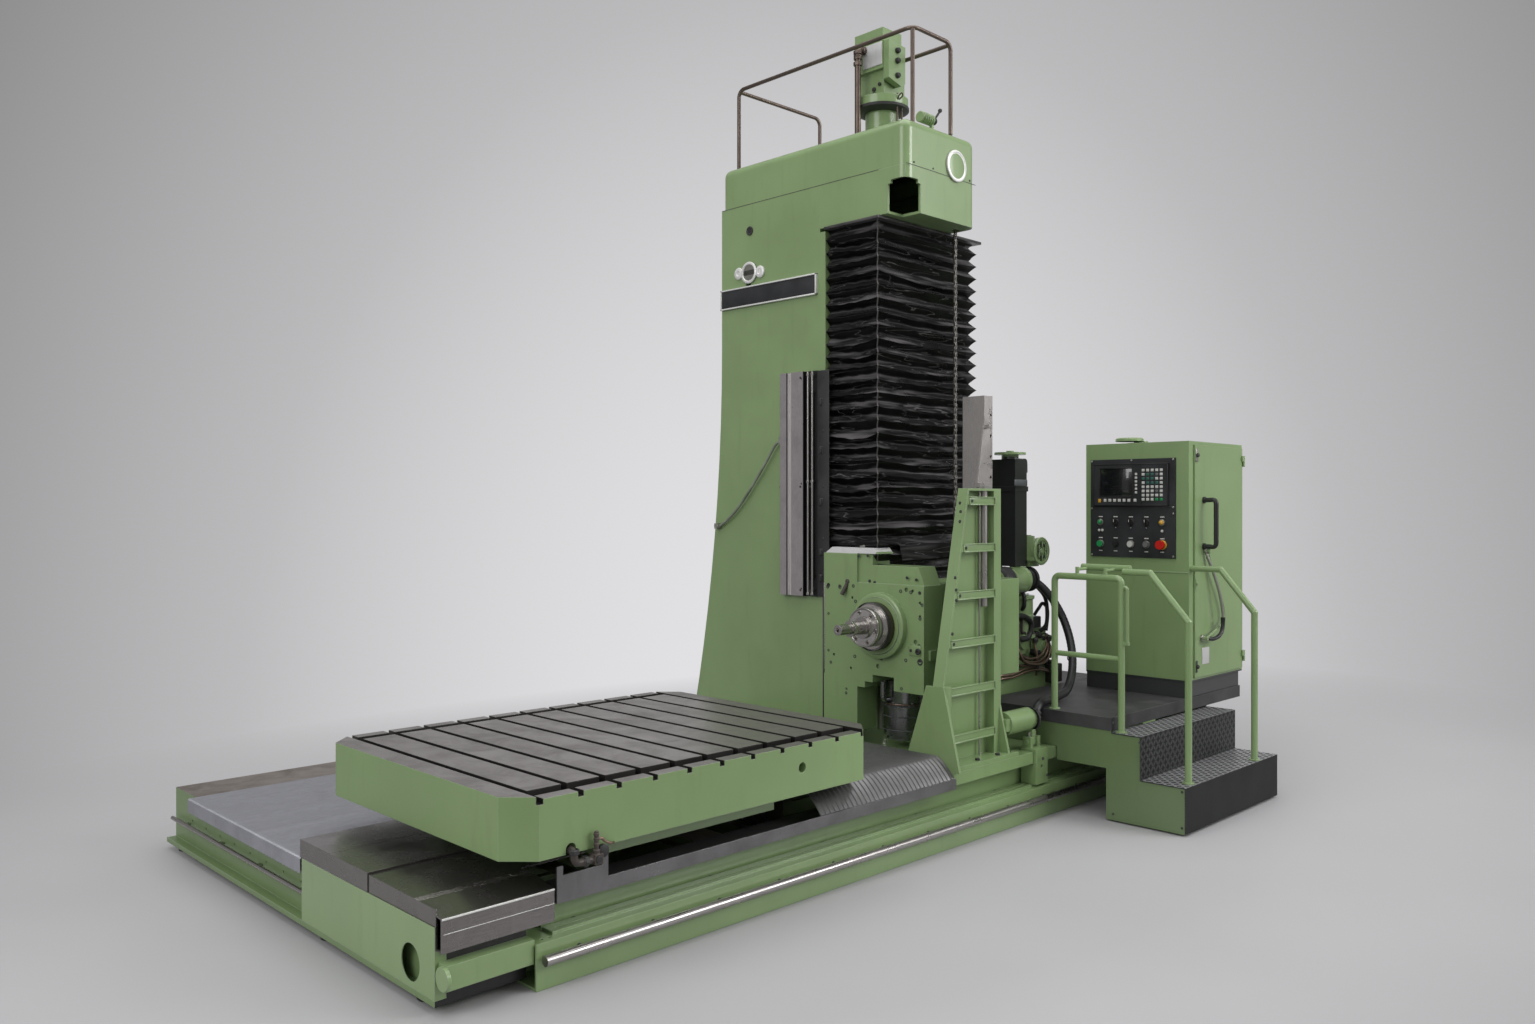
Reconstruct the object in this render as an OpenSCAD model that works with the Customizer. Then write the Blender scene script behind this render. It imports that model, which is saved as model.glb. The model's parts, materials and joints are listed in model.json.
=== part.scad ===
// Travelling column boring machine with a slotted cross table.
// Millimetres. X runs along the column bed, Y along the table bed, Z up.
// The parts are drawn from the corner where the table bed's outer side meets the
// front of the stairs, and place() moves that corner so that the origin is the
// middle of the machine's footprint on the floor.

/* [Table bed] */
// Length of the table bed, along the table travel
bed_l = 2515; // [2400:5:2700]
// Width of the table bed
bed_w = 1720; // [1600:10:1800]
// Height of the bed's side walls above the floor
bed_h = 205; // [190:5:230]
// Height of the levelling feet
foot_h = 30; // [20:1:50]
// Radius of a levelling foot
foot_r = 45; // [35:1:60]
// Wall thickness of the bed castings
bed_wall = 40; // [25:1:60]
// Width of one flat way on a bed
way_w = 150; // [120:5:180]
// Height of a way above the bed's side walls
way_rise = 30; // [20:1:40]
// Depth of the thin pan that covers the front of the bed's side
pan_d = 36; // [20:1:60]
// Radius of the round window in that pan
pan_hole_r = 61; // [40:1:80]

/* [Table] */
// Length of the table, along the spindle
table_l = 1800; // [1700:10:1900]
// Width of the table, along its travel
table_w = 1400; // [1300:10:1500]
// Thickness of the table
table_t = 210; // [180:5:240]
// Height of the saddle, from the ways to the table's underside
saddle_h = 205; // [190:5:230]
// Length of the saddle casting on the ways
saddle_l = 360; // [300:10:460]
// Number of tee slots
slot_n = 11; // [7:1:11]
// Distance between tee slots
slot_pitch = 160; // [140:5:164]
// Width of a tee slot's neck
slot_neck = 24; // [18:1:30]
// Depth of a tee slot's neck
slot_neck_d = 26; // [20:1:34]
// Width of a tee slot's head
slot_head = 42; // [34:1:50]
// Depth of a tee slot's head
slot_head_d = 18; // [12:1:24]
// Width of the table's cut corners
table_cut = 95; // [60:5:120]
// Width of the coolant gutter at each end of the slots
gutter_w = 45; // [30:1:60]
// Width of the rim outside the gutter
rim_w = 55; // [40:1:70]

/* [Column bed] */
// Length of the whole machine
overall_l = 5600; // [5500:20:6000]
// Width of the column bed
cbed_w = 1800; // [1750:10:1900]
// Width and height of the open beam in front of the column bed
beam_w = 156; // [140:2:164]
// Wall of the open beam
beam_wall = 9; // [6:1:14]
// Radius of the bright guide bar on the beam
bar_r = 18; // [12:1:24]
// Height of the flat top of the column bed's cover
cover_top = 400; // [390:2:410]
// Pitch of the ribs of the column bed's cover
rib_pitch = 29; // [24:1:40]

/* [Carriage and column] */
// Distance from the machine's left end to the column carriage
carriage_x = 2664; // [2600:4:2720]
// Length of the carriage
carriage_l = 1836; // [1800:6:1900]
// Thickness of the carriage
carriage_t = 99; // [90:1:110]
// Distance from the carriage's left edge to the column
column_dx = 142; // [130:2:160]
// Width of the column, along the spindle
column_w = 870; // [840:5:900]
// Depth of the column at its top
column_d = 787; // [760:1:820]
// How much deeper the column is at its base
column_flare = 253; // [200:1:280]
// Height above the floor at which the flare starts
flare_z = 2515; // [2400:5:2600]
// Wall of the column casting
column_wall = 70; // [50:5:90]
// Thickness of the steel ways on the column's front
cway_t = 40; // [30:1:44]
// Height of the column's top above the floor
column_top = 3330; // [3250:10:3400]

/* [Cap] */
// Height from the column's top to the cap's top
cap_h = 240; // [220:5:260]
// Depth of the cap's lower band below the column's top
cap_drop = 235; // [215:5:250]
// How far the cap reaches forward of the column
cap_reach = 592; // [570:2:620]
// Width of the cap's forward part
cap_w = 600; // [580:5:620]
// Radius of the cap's rounded edges
cap_r = 48; // [30:2:70]
// Wall of the cap
cap_wall = 14; // [10:1:20]

/* [Headstock] */
// Height of the spindle axis above the floor
spindle_z = 983; // [970:1:1000]
// Depth of the headstock, along the table travel
head_d = 672; // [650:2:690]
// Length of the headstock's front housing
head_front_l = 150; // [120:5:180]
// Length of the headstock's body behind the front housing
head_body_l = 720; // [660:10:760]
// Radius of the green ring round the spindle
ring_r = 168; // [150:2:180]
// Radius of the spindle sleeve
sleeve_r = 122; // [110:1:130]
// Radius of the spindle's nose plate
nose_r = 100; // [90:1:105]
// Radius of the boring spindle
bar_spindle_r = 55; // [45:1:60]
// Radius of the arbour's end
arbour_r = 26.5; // [20:0.5:30]
// Radial clearance of the spindle's running fits
fit = 0.05; // [0.02:0.01:0.1]
// Radius of the vertical spindle motor
motor_r = 115; // [100:1:120]

/* [Bellows] */
// Number of folds in the headstock's bellows
fold_n = 30; // [20:1:34]
// Depth of a fold
fold_d = 30; // [20:1:40]
// Distance from the column's front to the bellows' front folds
bellows_d = 408; // [390:2:420]

/* [Tower] */
// Width of the measuring tower at its foot
tower_w = 485; // [460:5:500]
// Width of the tower at its top
tower_top_w = 279; // [260:5:300]
// Height of the tower's top above the floor
tower_top = 1682; // [1600:10:1720]
// Height above the floor at which the tower's left side starts to lean
tower_knee = 730; // [700:5:760]
// Depth of the tower's side flanges
tower_d = 60; // [50:1:70]
// Thickness of the tower's plates
tower_t = 12; // [8:1:16]
// Height above the floor of the steel post behind the tower
post_top = 2154; // [2050:10:2200]

/* [Platform and stairs] */
// Distance from the carriage's left edge to the platform
platform_dx = 887; // [870:5:910]
// Length of the platform, along the column bed
platform_l = 1520; // [1480:5:1540]
// Depth of the platform
platform_d = 791; // [770:5:810]
// Height of the platform's deck above the floor
deck_z = 523; // [510:1:540]
// Height of the deck's black edge
deck_edge = 66; // [50:2:80]
// Length of the stairs
stair_l = 1085; // [1000:5:1150]
// Depth of the lower tread
tread_low_d = 233; // [220:1:250]
// Depth of the upper tread
tread_up_d = 163; // [150:1:180]
// Height of the lower tread above the floor
tread_low_z = 235; // [220:1:245]
// Height of the upper tread above the floor
tread_up_z = 450; // [440:1:455]
// Thickness of the tread sheet
sheet_t = 5; // [3:1:8]
// Gap between the hanging stairs and the floor
floor_gap = 8; // [5:1:15]
// Radius of the handrail tubes
rail_r = 17; // [14:0.5:20]
// Height of the platform's guard rail above the deck
guard_h = 705; // [680:5:730]

/* [Cabinet] */
// Length of the control cabinet
cab_l = 690; // [670:2:700]
// Width of the control cabinet
cab_w = 635; // [620:1:650]
// Height of the control cabinet above its plinth
cab_h = 1344; // [1320:4:1400]
// Height of the plinth
plinth_h = 90; // [70:2:110]
// Thickness of the cabinet's sheet walls
cab_wall = 12; // [8:1:16]
// Width of the control panel
panel_w = 524; // [510:1:540]
// Height of the control panel
panel_h = 566; // [540:2:580]
// Distance between controls along the panel
control_pitch = 95.5; // [90:0.5:98]
// Travel of a push button
press = 5; // [3:0.5:8]

/* [Hidden] */
$fn = 48;

green = [0.47, 0.56, 0.40];
dark = [0.16, 0.16, 0.17];
steel = [0.62, 0.60, 0.59];
brown_steel = [0.45, 0.42, 0.40];
blue_steel = [0.36, 0.38, 0.42];
red = [0.75, 0.12, 0.08];
white = [0.85, 0.86, 0.85];

// Gap between flat faces that slide past each other
slide_gap = 0.4;
// Gap between curved pieces of different bodies
loose_gap = 3;
// Lets a cut pass through a face
over = 1;

// Places along Y, from the front of the stairs
platform_y = tread_low_d + tread_up_d;
beam_y = platform_y + 287;
bed_y = beam_y + 62;
overall_w = bed_y + bed_l;
bed_far = overall_w;
cover_y = bed_y - 36;
table_y = bed_y - 100;
cbed_y = beam_y + beam_w + 11;
carriage_y = beam_y + 32;
carriage_x1 = carriage_x + carriage_l;
carriage_w = cbed_y + cbed_w + 50 - carriage_y;

// Heights above the floor
way_top = bed_h + way_rise;
saddle_z = way_top + slide_gap;
table_z = saddle_z + saddle_h;
table_top = table_z + table_t;
carriage_z = way_top + slide_gap;
carriage_top = carriage_z + carriage_t;

// Places along X, from the outer side of the table bed
table_x = bed_w / 2 + 262 - table_l / 2;
cbed_x = bed_w + 16;
column_x = carriage_x + column_dx;
platform_x = carriage_x + platform_dx;

// The column, its front face and what hangs on it
column_y = carriage_y + 995;
column_x1 = column_x + column_w;
column_back = column_y + column_d;
head_x = column_x - 20;
head_y = column_y - 48 - head_d;
spindle_y = head_y + 271;
head_y1 = head_y + head_d;
way_face = column_y - cway_t - slide_gap;
head_z1 = spindle_z + 215;
cap_y = column_y - cap_reach;
cap_bottom = column_top - cap_drop;
cap_top = column_top + cap_h;

// Two ways of the table bed and of the column bed
bed_way_x = [bed_w * 0.16, bed_w * 0.84 - way_w];
cbed_way_y = [cbed_y + 160, cbed_y + cbed_w - 160 - way_w];

// Ball screws
screw_r = 25;
bed_screw_x = bed_w / 2;
bed_screw_z = foot_h + 115;
cbed_screw_y = cbed_y + cbed_w / 2;
cbed_screw_z = foot_h + 115;
z_screw_x = column_x + 344;
z_screw_y = column_y - 148;

module place() {
  translate([-overall_l / 2, -overall_w / 2, 0]) children();
}

module block(low, high) {
  translate(low) cube(high - low);
}

// Extrudes an outline drawn in Y and Z along X
module along_x(x, l) {
  translate([x, 0, 0]) rotate([90, 0, 90]) linear_extrude(l) children();
}

// Extrudes an outline drawn in X and Z along Y
module along_y(y, l) {
  translate([0, y + l, 0]) rotate([90, 0, 0]) linear_extrude(l) children();
}

module rod_x(p, r, l) {
  translate(p) rotate([0, 90, 0]) cylinder(h = l, r = r);
}

module rod_y(p, r, l) {
  translate(p) rotate([-90, 0, 0]) cylinder(h = l, r = r);
}

module rod_z(p, r, l) {
  translate(p) cylinder(h = l, r = r);
}

// A flat outline with round corners
module round_rect(w, h, r) {
  translate([r, 0]) square([w - 2 * r, h]);
  translate([0, r]) square([w, h - 2 * r]);
  for (x = [r, w - r], y = [r, h - r]) translate([x, y]) circle(r = r);
}

function unit(v) = v / norm(v);

// Turns the axes onto three square directions
function turn_of(ex, ey, ez) = abs(ex.z) > 0.99999
  ? [0, ex.z < 0 ? 90 : -90, atan2(-ey.x, ey.y)]
  : [atan2(ey.z, ez.z), asin(-ex.z), atan2(ex.y, ex.x)];

// A round tube through points, with bends of radius b
module bent_tube(p, r, b) {
  last = len(p) - 1;
  cut = [for (i = [0 : last]) i == 0 || i == last ? 0 :
    b * tan(acos(unit(p[i] - p[i - 1]) * unit(p[i + 1] - p[i])) / 2)];
  for (i = [0 : last - 1]) {
    d = unit(p[i + 1] - p[i]);
    l = norm(p[i + 1] - p[i]) - cut[i] - cut[i + 1];
    translate(p[i] + d * cut[i]) rotate([0, acos(d.z), atan2(d.y, d.x)])
      cylinder(h = l, r = r);
  }
  for (i = [1 : 1 : last - 1]) {
    u = unit(p[i] - p[i - 1]);
    v = unit(p[i + 1] - p[i]);
    n = unit(cross(u, v));
    inward = cross(n, u);
    translate(p[i] - u * cut[i] + inward * b) rotate(turn_of(-inward, u, n))
      rotate_extrude(angle = acos(u * v)) translate([b, 0]) circle(r = r);
  }
}

// A smooth curve through points, and a faceted tube along it
function curve_at(p, i, t) = let (
    a = p[max(i - 1, 0)], b = p[i], c = p[i + 1], d = p[min(i + 2, len(p) - 1)])
  0.5 * (2 * b + (c - a) * t + (2 * a - 5 * b + 4 * c - d) * t * t
    + (3 * b - a - 3 * c + d) * t * t * t);

function curve(p, steps) = concat(
  [for (i = [0 : len(p) - 2], s = [0 : steps - 1]) curve_at(p, i, s / steps)],
  [p[len(p) - 1]]);

function carried(path, i, side) = i == 0 ? side : let (
    before = carried(path, i - 1, side),
    t = unit(path[min(i + 1, len(path) - 1)] - path[i - 1]))
  unit(before - t * (before * t));

module hose(points, r, steps, sides) {
  path = curve(points, steps);
  rings = len(path);
  start = unit(path[1] - path[0]);
  side = unit(cross(start, abs(start.z) > 0.9 ? [1, 0, 0] : [0, 0, 1]));
  ring_points = [for (i = [0 : rings - 1]) let (
      t = unit(path[min(i + 1, rings - 1)] - path[max(i - 1, 0)]),
      u = carried(path, i, side), v = cross(t, u))
    for (k = [0 : sides - 1]) path[i] + r * (cos(360 * k / sides) * u
      + sin(360 * k / sides) * v)];
  walls = [for (i = [0 : rings - 2], k = [0 : sides - 1], half = [0, 1]) let (
      a = i * sides + k, b = i * sides + (k + 1) % sides)
    half == 0 ? [a, b, b + sides] : [a, b + sides, a + sides]];
  first_end = [for (k = [1 : sides - 2]) [0, k + 1, k]];
  last_end = [for (k = [1 : sides - 2]) [(rings - 1) * sides, (rings - 1) * sides + k,
    (rings - 1) * sides + k + 1]];
  polyhedron(ring_points, [for (f = concat(walls, first_end, last_end)) [f[0], f[2], f[1]]]);
}

// Table bed: a ribbed trough with two flat ways
bed_flange_t = 20;
bed_in = pan_d + 4;

module bed_outline() {
  difference() {
    union() {
      translate([bed_in, foot_h]) square([bed_w - 2 * bed_in, bed_h - foot_h]);
      translate([0, foot_h]) square([bed_w, bed_flange_t]);
      for (x = bed_way_x) translate([x, bed_h - over]) square([way_w, way_rise + over]);
    }
    translate([bed_in + bed_wall, foot_h + bed_wall])
      square([bed_way_x[0] - bed_in - 2 * bed_wall, bed_h]);
    translate([bed_way_x[0] + way_w + bed_wall, foot_h + bed_wall])
      square([bed_way_x[1] - bed_way_x[0] - way_w - 2 * bed_wall, bed_h]);
    translate([bed_way_x[1] + way_w + bed_wall, foot_h + bed_wall])
      square([bed_w - bed_in - bed_way_x[1] - way_w - 2 * bed_wall, bed_h]);
  }
}

bed_rib_t = 24;
bed_rib_n = 4;
nut_room = 66;

module table_bed() {
  color(green) place() difference() {
    union() {
      along_y(bed_y, bed_l) bed_outline();
      for (i = [0 : bed_rib_n]) {
        y = beam_y + beam_w + i * (overall_w - bed_rib_t - beam_y - beam_w) / bed_rib_n;
        block([bed_in + over, y, foot_h + over], [bed_w - bed_in - over, y + bed_rib_t, bed_h - over]);
      }
      block([bed_in, bed_y, foot_h], [beam_x - over, bed_y + bed_rib_t, bed_h]);
      block([bed_in, bed_far - plate_l, bed_h - over],
        [bed_w - bed_in, bed_far, bed_h + plate_rise]);
    }
    block([beam_x, bed_y - over, -over], [bed_w + over, beam_y + beam_w, bed_h + way_rise + over]);
    rod_y([bed_screw_x, bed_y - over, bed_screw_z], screw_r + loose_gap, bed_l - bed_rib_t);
    block([bed_screw_x - nut_room, saddle_y - 240, bed_screw_z - 56],
      [bed_screw_x + nut_room, bed_far - 300, bed_h]);
    for (y = [bed_y + 1100 : 170 : bed_far - 120])
      rod_x([-over, y, bed_h - 45], 6, bed_in + 20);
  }
}

// The raised flat plate at the bed's far end
plate_l = 280;
plate_rise = 72;

pan_l = 1000;
pan_top = bed_h + 75;

module bed_side_pan() {
  color(green) place() difference() {
    block([0, bed_y, foot_h + bed_flange_t], [bed_in, bed_y + pan_l, pan_top]);
    block([pan_t, bed_y + pan_t, foot_h + bed_flange_t - over],
      [bed_in + over, bed_y + pan_l - pan_t, bed_h + 10]);
    block([pan_lap, bed_y - over, bed_h],
      [bed_in + over, bed_y + pan_l + over, pan_top + over]);
    rod_x([-over, bed_y + 158, foot_h + 100], pan_hole_r, pan_t + 2 * over);
  }
}

pan_t = 4;
pan_lap = 3;

// Bright bars on the bed's side and on the beam
side_bar_r = 9;
side_bar_x = 16;

module steel_bars() {
  color(steel) place() {
    side_y0 = bed_y + pan_l + 12;
    rod_y([side_bar_x, side_y0, bed_h - 62], side_bar_r, bed_l - pan_l - 40);
    for (y = [side_y0 + 40 : 420 : bed_far - 60])
      block([side_bar_x, y, bed_h - 62 - 4], [bed_in, y + 24, bed_h - 62 + 4]);
    rod_x([beam_x + 16, beam_y - bar_r - 8, bar_z], bar_r, overall_l - beam_x - 60);
    for (x = [beam_x + 120 : 640 : overall_l - 200])
      block([x, beam_y - bar_r - 8, bar_z - 6], [x + 30, beam_y, bar_z + 6]);
  }
}

beam_x = 331;
bar_z = beam_w * 0.67;

foot_bed_y = [beam_y + beam_w + 60, bed_far / 2, bed_far - 90];
foot_cbed_x = [for (i = [0 : 4]) cbed_x + 90 + i * (overall_l - cbed_x - 180) / 4];

module levelling_foot(x, y) {
  rod_z([x, y, 0], foot_r, foot_h * 0.4);
  rod_z([x, y, foot_h * 0.4 - over], foot_r * 0.45, foot_h * 0.6 + over);
}

module levelling_feet() {
  color(dark) place() {
    for (x = [70, bed_w - 70], y = foot_bed_y) levelling_foot(x, y);
    for (x = foot_cbed_x, y = [cbed_y + 80, cbed_y + cbed_w - 80]) levelling_foot(x, y);
  }
}

// Column bed: a trough like the table bed, along X
module cbed_outline() {
  difference() {
    union() {
      translate([cbed_y, foot_h]) square([cbed_w, bed_h - foot_h]);
      for (y = cbed_way_y) translate([y, bed_h - over]) square([way_w, way_rise + over]);
    }
    translate([cbed_y + bed_wall, foot_h + bed_wall])
      square([cbed_way_y[0] - cbed_y - 2 * bed_wall, bed_h]);
    translate([cbed_way_y[0] + way_w + bed_wall, foot_h + bed_wall])
      square([cbed_way_y[1] - cbed_way_y[0] - way_w - 2 * bed_wall, bed_h]);
    translate([cbed_way_y[1] + way_w + bed_wall, foot_h + bed_wall])
      square([cbed_y + cbed_w - cbed_way_y[1] - way_w - 2 * bed_wall, bed_h]);
  }
}

cbed_rib_n = 5;

module column_bed() {
  color(green) place() difference() {
    union() {
      along_x(cbed_x, overall_l - cbed_x) cbed_outline();
      for (i = [0 : cbed_rib_n]) {
        x = cbed_x + i * (overall_l - cbed_x - bed_rib_t) / cbed_rib_n;
        block([x, cbed_y + over, foot_h + over], [x + bed_rib_t, cbed_y + cbed_w - over, bed_h - over]);
      }
    }
    rod_x([cbed_x + bed_rib_t, cbed_screw_y, cbed_screw_z], screw_r + loose_gap, overall_l);
    block([carriage_x - 200, cbed_screw_y - nut_room, cbed_screw_z - 56],
      [carriage_x + 1300, cbed_screw_y + nut_room, bed_h]);
  }
}

// Black strip that edges the covers in front of the bed
strip_x = beam_x + 95;
strip_t = 8;
strip_low = 262;
strip_top = 310;

module cover_strip() {
  color(dark) place() {
    block([strip_x, carriage_y - 12, strip_low],
      [carriage_x, carriage_y - 12 + strip_t, strip_top]);
    block([strip_x, carriage_y - 12, strip_low],
      [carriage_x - cover_in, cbed_y + 60, strip_low + strip_t]);
    block([cbed_x + 60, cbed_y, bed_h], [cbed_x + 100, cbed_y + 60, strip_low + over]);
    block([strip_x, carriage_y - 12, strip_top - over], [strip_x + 212, carriage_y - 4, strip_top + 44]);
    for (x = [strip_x, strip_x + 188])
      block([x, carriage_y - 12, strip_top - over], [x + 24, carriage_y - 4, strip_top + 76]);
  }
}

cover_in = 540;

// Open square beam with a slotted rail strip on its top
strip_slot_w = 12;

module front_beam() {
  color(green) place() difference() {
    union() {
      block([beam_x, beam_y, 0], [overall_l, beam_y + beam_w, beam_w]);
      block([beam_x + 90, beam_y + 40, beam_w - over], [overall_l, beam_y + 104, beam_w + 10]);
      block([12, bed_y - 50, 90], [beam_x + over, bed_y, 170]);
      rod_x([1, bed_y - 40, 130], 38, 14);
      block([beam_x + 95, beam_y + 118, beam_w - over],
        [overall_l, beam_y + beam_w, strip_low - slide_gap]);
    }
    block([beam_x - over, beam_y + beam_wall, beam_wall],
      [overall_l + over, beam_y + beam_w - beam_wall, beam_w - beam_wall]);
    block([beam_x + 120, beam_y + 60, beam_w + 2],
      [overall_l + over, beam_y + 60 + strip_slot_w, beam_w + 11]);
    for (x = [beam_x + 40, beam_x + 70]) rod_z([x, beam_y + 30, beam_w - 20], 7, 40);
  }
}

module feed_screws() {
  color(steel) place() {
    rod_y([bed_screw_x, beam_y + beam_w + 6, bed_screw_z], screw_r,
      overall_w - bed_rib_t - 12 - beam_y - beam_w);
    rod_x([cbed_x + bed_rib_t + 6, cbed_screw_y, cbed_screw_z], screw_r, overall_l - cbed_x - 60);
  }
}

// Fixed folded cover on the front of the table bed
fcover_t = 6;
fcover_l = 1220 - 709;
fcover_z = 342;
fcover_nose_l = 138;
side_in = 3.4;

module front_cover() {
  color(brown_steel) place() difference() {
    along_x(side_in, bed_w - 2 * side_in) difference() {
      polygon([[cover_y, bed_h], [cover_y, fcover_z - 26], [cover_y + fcover_nose_l, fcover_z - 4],
        [cover_y + fcover_l, fcover_z], [cover_y + fcover_l, bed_h]]);
      polygon([[cover_y + fcover_t, bed_h - over], [cover_y + fcover_t, fcover_z - 31],
        [cover_y + fcover_nose_l, fcover_z - 10], [cover_y + fcover_l + over, fcover_z - 6],
        [cover_y + fcover_l + over, bed_h - over]]);
    }
    block([strip_x - 6, cover_y - over, bed_h - over], [bed_w + over, cbed_y + 66, fcover_z + over]);
    for (i = [0 : 3]) block([-over, cover_y + fcover_nose_l + 6 + 9 * i, fcover_z - 5.4],
      [bed_w + over, cover_y + fcover_nose_l + 9 + 9 * i, fcover_z + over]);
  }
  color(brown_steel) place() {
    block([side_in + fcover_t - over, cover_y + fcover_t, bed_h],
      [fcover_t + 30, cover_y + fcover_l - 20, bed_h + fcover_t]);
    block([side_in, bed_y, bed_h], [side_in + fcover_t, cover_y + fcover_l, fcover_z - 5]);
    block([bed_w - side_in - fcover_t, cbed_y + 66, bed_h],
      [bed_w - side_in, cover_y + fcover_l, fcover_z - 5]);
  }
}

// Pleated cover from the saddle to the bed's far end
skin_y = cover_y + fcover_l - 12;
skin_l = 552;
rcover_y = skin_y + skin_l + slide_gap;
rcover_end = bed_far - plate_l - slide_gap;
rcover_z = bed_h + 75;
pleat = 34;
pleat_d = 7;

module rear_cover() {
  pleats = floor((rcover_end - rcover_y) / pleat);
  step = (rcover_end - rcover_y) / pleats;
  color(blue_steel) place() difference() {
    along_x(0, bed_w) polygon(concat([[rcover_y, bed_h + 12]],
      [for (i = [0 : pleats - 1], k = [0, 1]) [rcover_y + step * (i + k * 0.5),
        rcover_z - k * pleat_d]],
      [[rcover_end, rcover_z], [rcover_end, bed_h + 12]]));
    block([fcover_t, rcover_y - over, bed_h], [bed_w - fcover_t, rcover_end + over, rcover_z - 16]);
  }
}

// Ribbed covers left and right of the carriage
lip_y = carriage_y - 12 + strip_t + slide_gap;
slope_y = lip_y + 108;
back_y = cbed_y + cbed_w + 40;
rib_h = 8;

module cover_outline(drop) {
  polygon([[lip_y, strip_top + 6 - drop], [slope_y, cover_top - drop], [back_y - 90, cover_top - drop],
    [back_y, strip_top - drop], [back_y, strip_top - 12 - drop], [back_y - 94, cover_top - 12 - drop],
    [slope_y + 4, cover_top - 12 - drop], [lip_y, strip_top - 6 - drop]]);
}

module ribbed_cover(x0, x1) {
  ribs = floor((x1 - x0) / rib_pitch);
  step = (x1 - x0) / ribs;
  color(dark) place() {
    along_x(x0, x1 - x0) cover_outline(rib_h / 2);
    for (i = [0 : ribs - 1]) along_x(x0 + step * (i + 0.25), step * 0.5) polygon([
      [lip_y, strip_top + 2], [lip_y, strip_top + 8], [slope_y, cover_top + 2],
      [slope_y + 20, cover_top + 2], [slope_y + 20, cover_top - 8], [slope_y, cover_top - 8]]);
  }
}

module column_cover() {
  ribbed_cover(cbed_x, carriage_x - slide_gap);
}

module back_cover() {
  color(dark) place() along_x(carriage_x1 + slide_gap,
    overall_l - carriage_x - carriage_l - 2 * slide_gap) polygon([
      [platform_y + platform_d + 60, carriage_top - 6], [back_y - 60, carriage_top - 6],
      [back_y, strip_low + 10], [back_y, strip_low - 2], [back_y - 64, carriage_top - 18],
      [platform_y + platform_d + 60, carriage_top - 18]]);
}

// Saddle on the bed's ways, with the table's pedestal
saddle_y = skin_y + skin_l - saddle_l;
pedestal_y = table_y + 155;
pedestal_x = [bed_w * 0.38, bed_w * 0.9];

module saddle() {
  color(green) place() difference() {
    union() {
      block([bed_way_x[0] - 30, saddle_y, saddle_z], [bed_way_x[1] + way_w + 30,
        saddle_y + saddle_l, fcover_z - 14]);
      block([pedestal_x[0] + 60, saddle_y + 10, fcover_z - 15],
        [pedestal_x[1] - 60, saddle_y + saddle_l - 10, fcover_z + 14]);
      block([pedestal_x[0], pedestal_y, fcover_z + 12],
        [pedestal_x[1], table_y + table_w - 155, table_z]);
      block([bed_screw_x - 60, saddle_y + 60, bed_screw_z - 50],
        [bed_screw_x + 60, saddle_y + 200, saddle_z + over]);
    }
    rod_y([bed_screw_x, saddle_y, bed_screw_z], screw_r + 0.5, saddle_l);
  }
}

skin_t = 5;
skin_side_t = 2.4;

module saddle_skin() {
  color(brown_steel) place() difference() {
    union() {
      difference() {
        block([0, skin_y, pan_top + 2], [bed_w, skin_y + skin_l, fcover_z + skin_t + 2]);
        block([skin_side_t, skin_y - over, rcover_z - 5], [bed_w - skin_side_t, skin_y + skin_l + over,
          fcover_z + 1]);
        block([-over, skin_y + skin_l * 0.54, fcover_z + skin_t - 1],
          [bed_w + over, skin_y + skin_l * 0.54 + 5, fcover_z + 10]);
      }
    }
    block([pedestal_x[0] + 60, saddle_y + 10, fcover_z - 20],
      [pedestal_x[1] - 60, saddle_y + saddle_l - 10, fcover_z + 20]);
  }
}

// Slotted table with cut corners
slot_x0 = table_x + (table_l - (slot_n - 1) * slot_pitch) / 2;

module table_plan() {
  polygon([[table_x + table_cut, table_y], [table_x + table_l - table_cut, table_y],
    [table_x + table_l, table_y + table_cut], [table_x + table_l, table_y + table_w - table_cut],
    [table_x + table_l - table_cut, table_y + table_w], [table_x + table_cut, table_y + table_w],
    [table_x, table_y + table_w - table_cut], [table_x, table_y + table_cut]]);
}

gutter_d = 34;
rim_drop = 8;

module gutter(y) {
  x0 = table_x + table_cut + 10;
  x1 = table_x + table_l - table_cut - 10;
  block([x0, y, table_top - gutter_d], [x1, y + gutter_w, table_top + over]);
}

module table() {
  color(green) place() difference() {
    translate([0, 0, table_z]) linear_extrude(table_t) table_plan();
    for (i = [0 : slot_n - 1]) {
      x = slot_x0 + i * slot_pitch;
      block([x - slot_neck / 2, table_y - over, table_top - slot_neck_d],
        [x + slot_neck / 2, table_y + table_w + over, table_top + over]);
      block([x - slot_head / 2, table_y + rim_w, table_top - slot_neck_d - slot_head_d],
        [x + slot_head / 2, table_y + table_w - rim_w, table_top - slot_neck_d + over / 100]);
    }
    gutter(table_y + rim_w);
    gutter(table_y + table_w - rim_w - gutter_w);
    block([table_x + table_cut + 10, table_y - over, table_top - rim_drop],
      [table_x + table_l - table_cut - 10, table_y + rim_w + over, table_top + over]);
    rod_y([table_x + table_l * 0.74, table_y - over, table_z + table_t * 0.52], 21, 60);
    rod_y([drain_x, table_y - over, drain_z + 4], drain_r + 7, 40);
    block([drain_x - drain_r - 7, table_y - over, table_z - over],
      [drain_x + drain_r + 7, table_y + 39, drain_z + 4]);
    block([table_x + 60, table_y + 60, table_z - over],
      [pedestal_x[0] - 30, table_y + table_w - 60, table_z + table_t * 0.55]);
    block([pedestal_x[1] + 30, table_y + 60, table_z - over],
      [table_x + table_l - 60, table_y + table_w - 60, table_z + table_t * 0.55]);
  }
}

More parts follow.
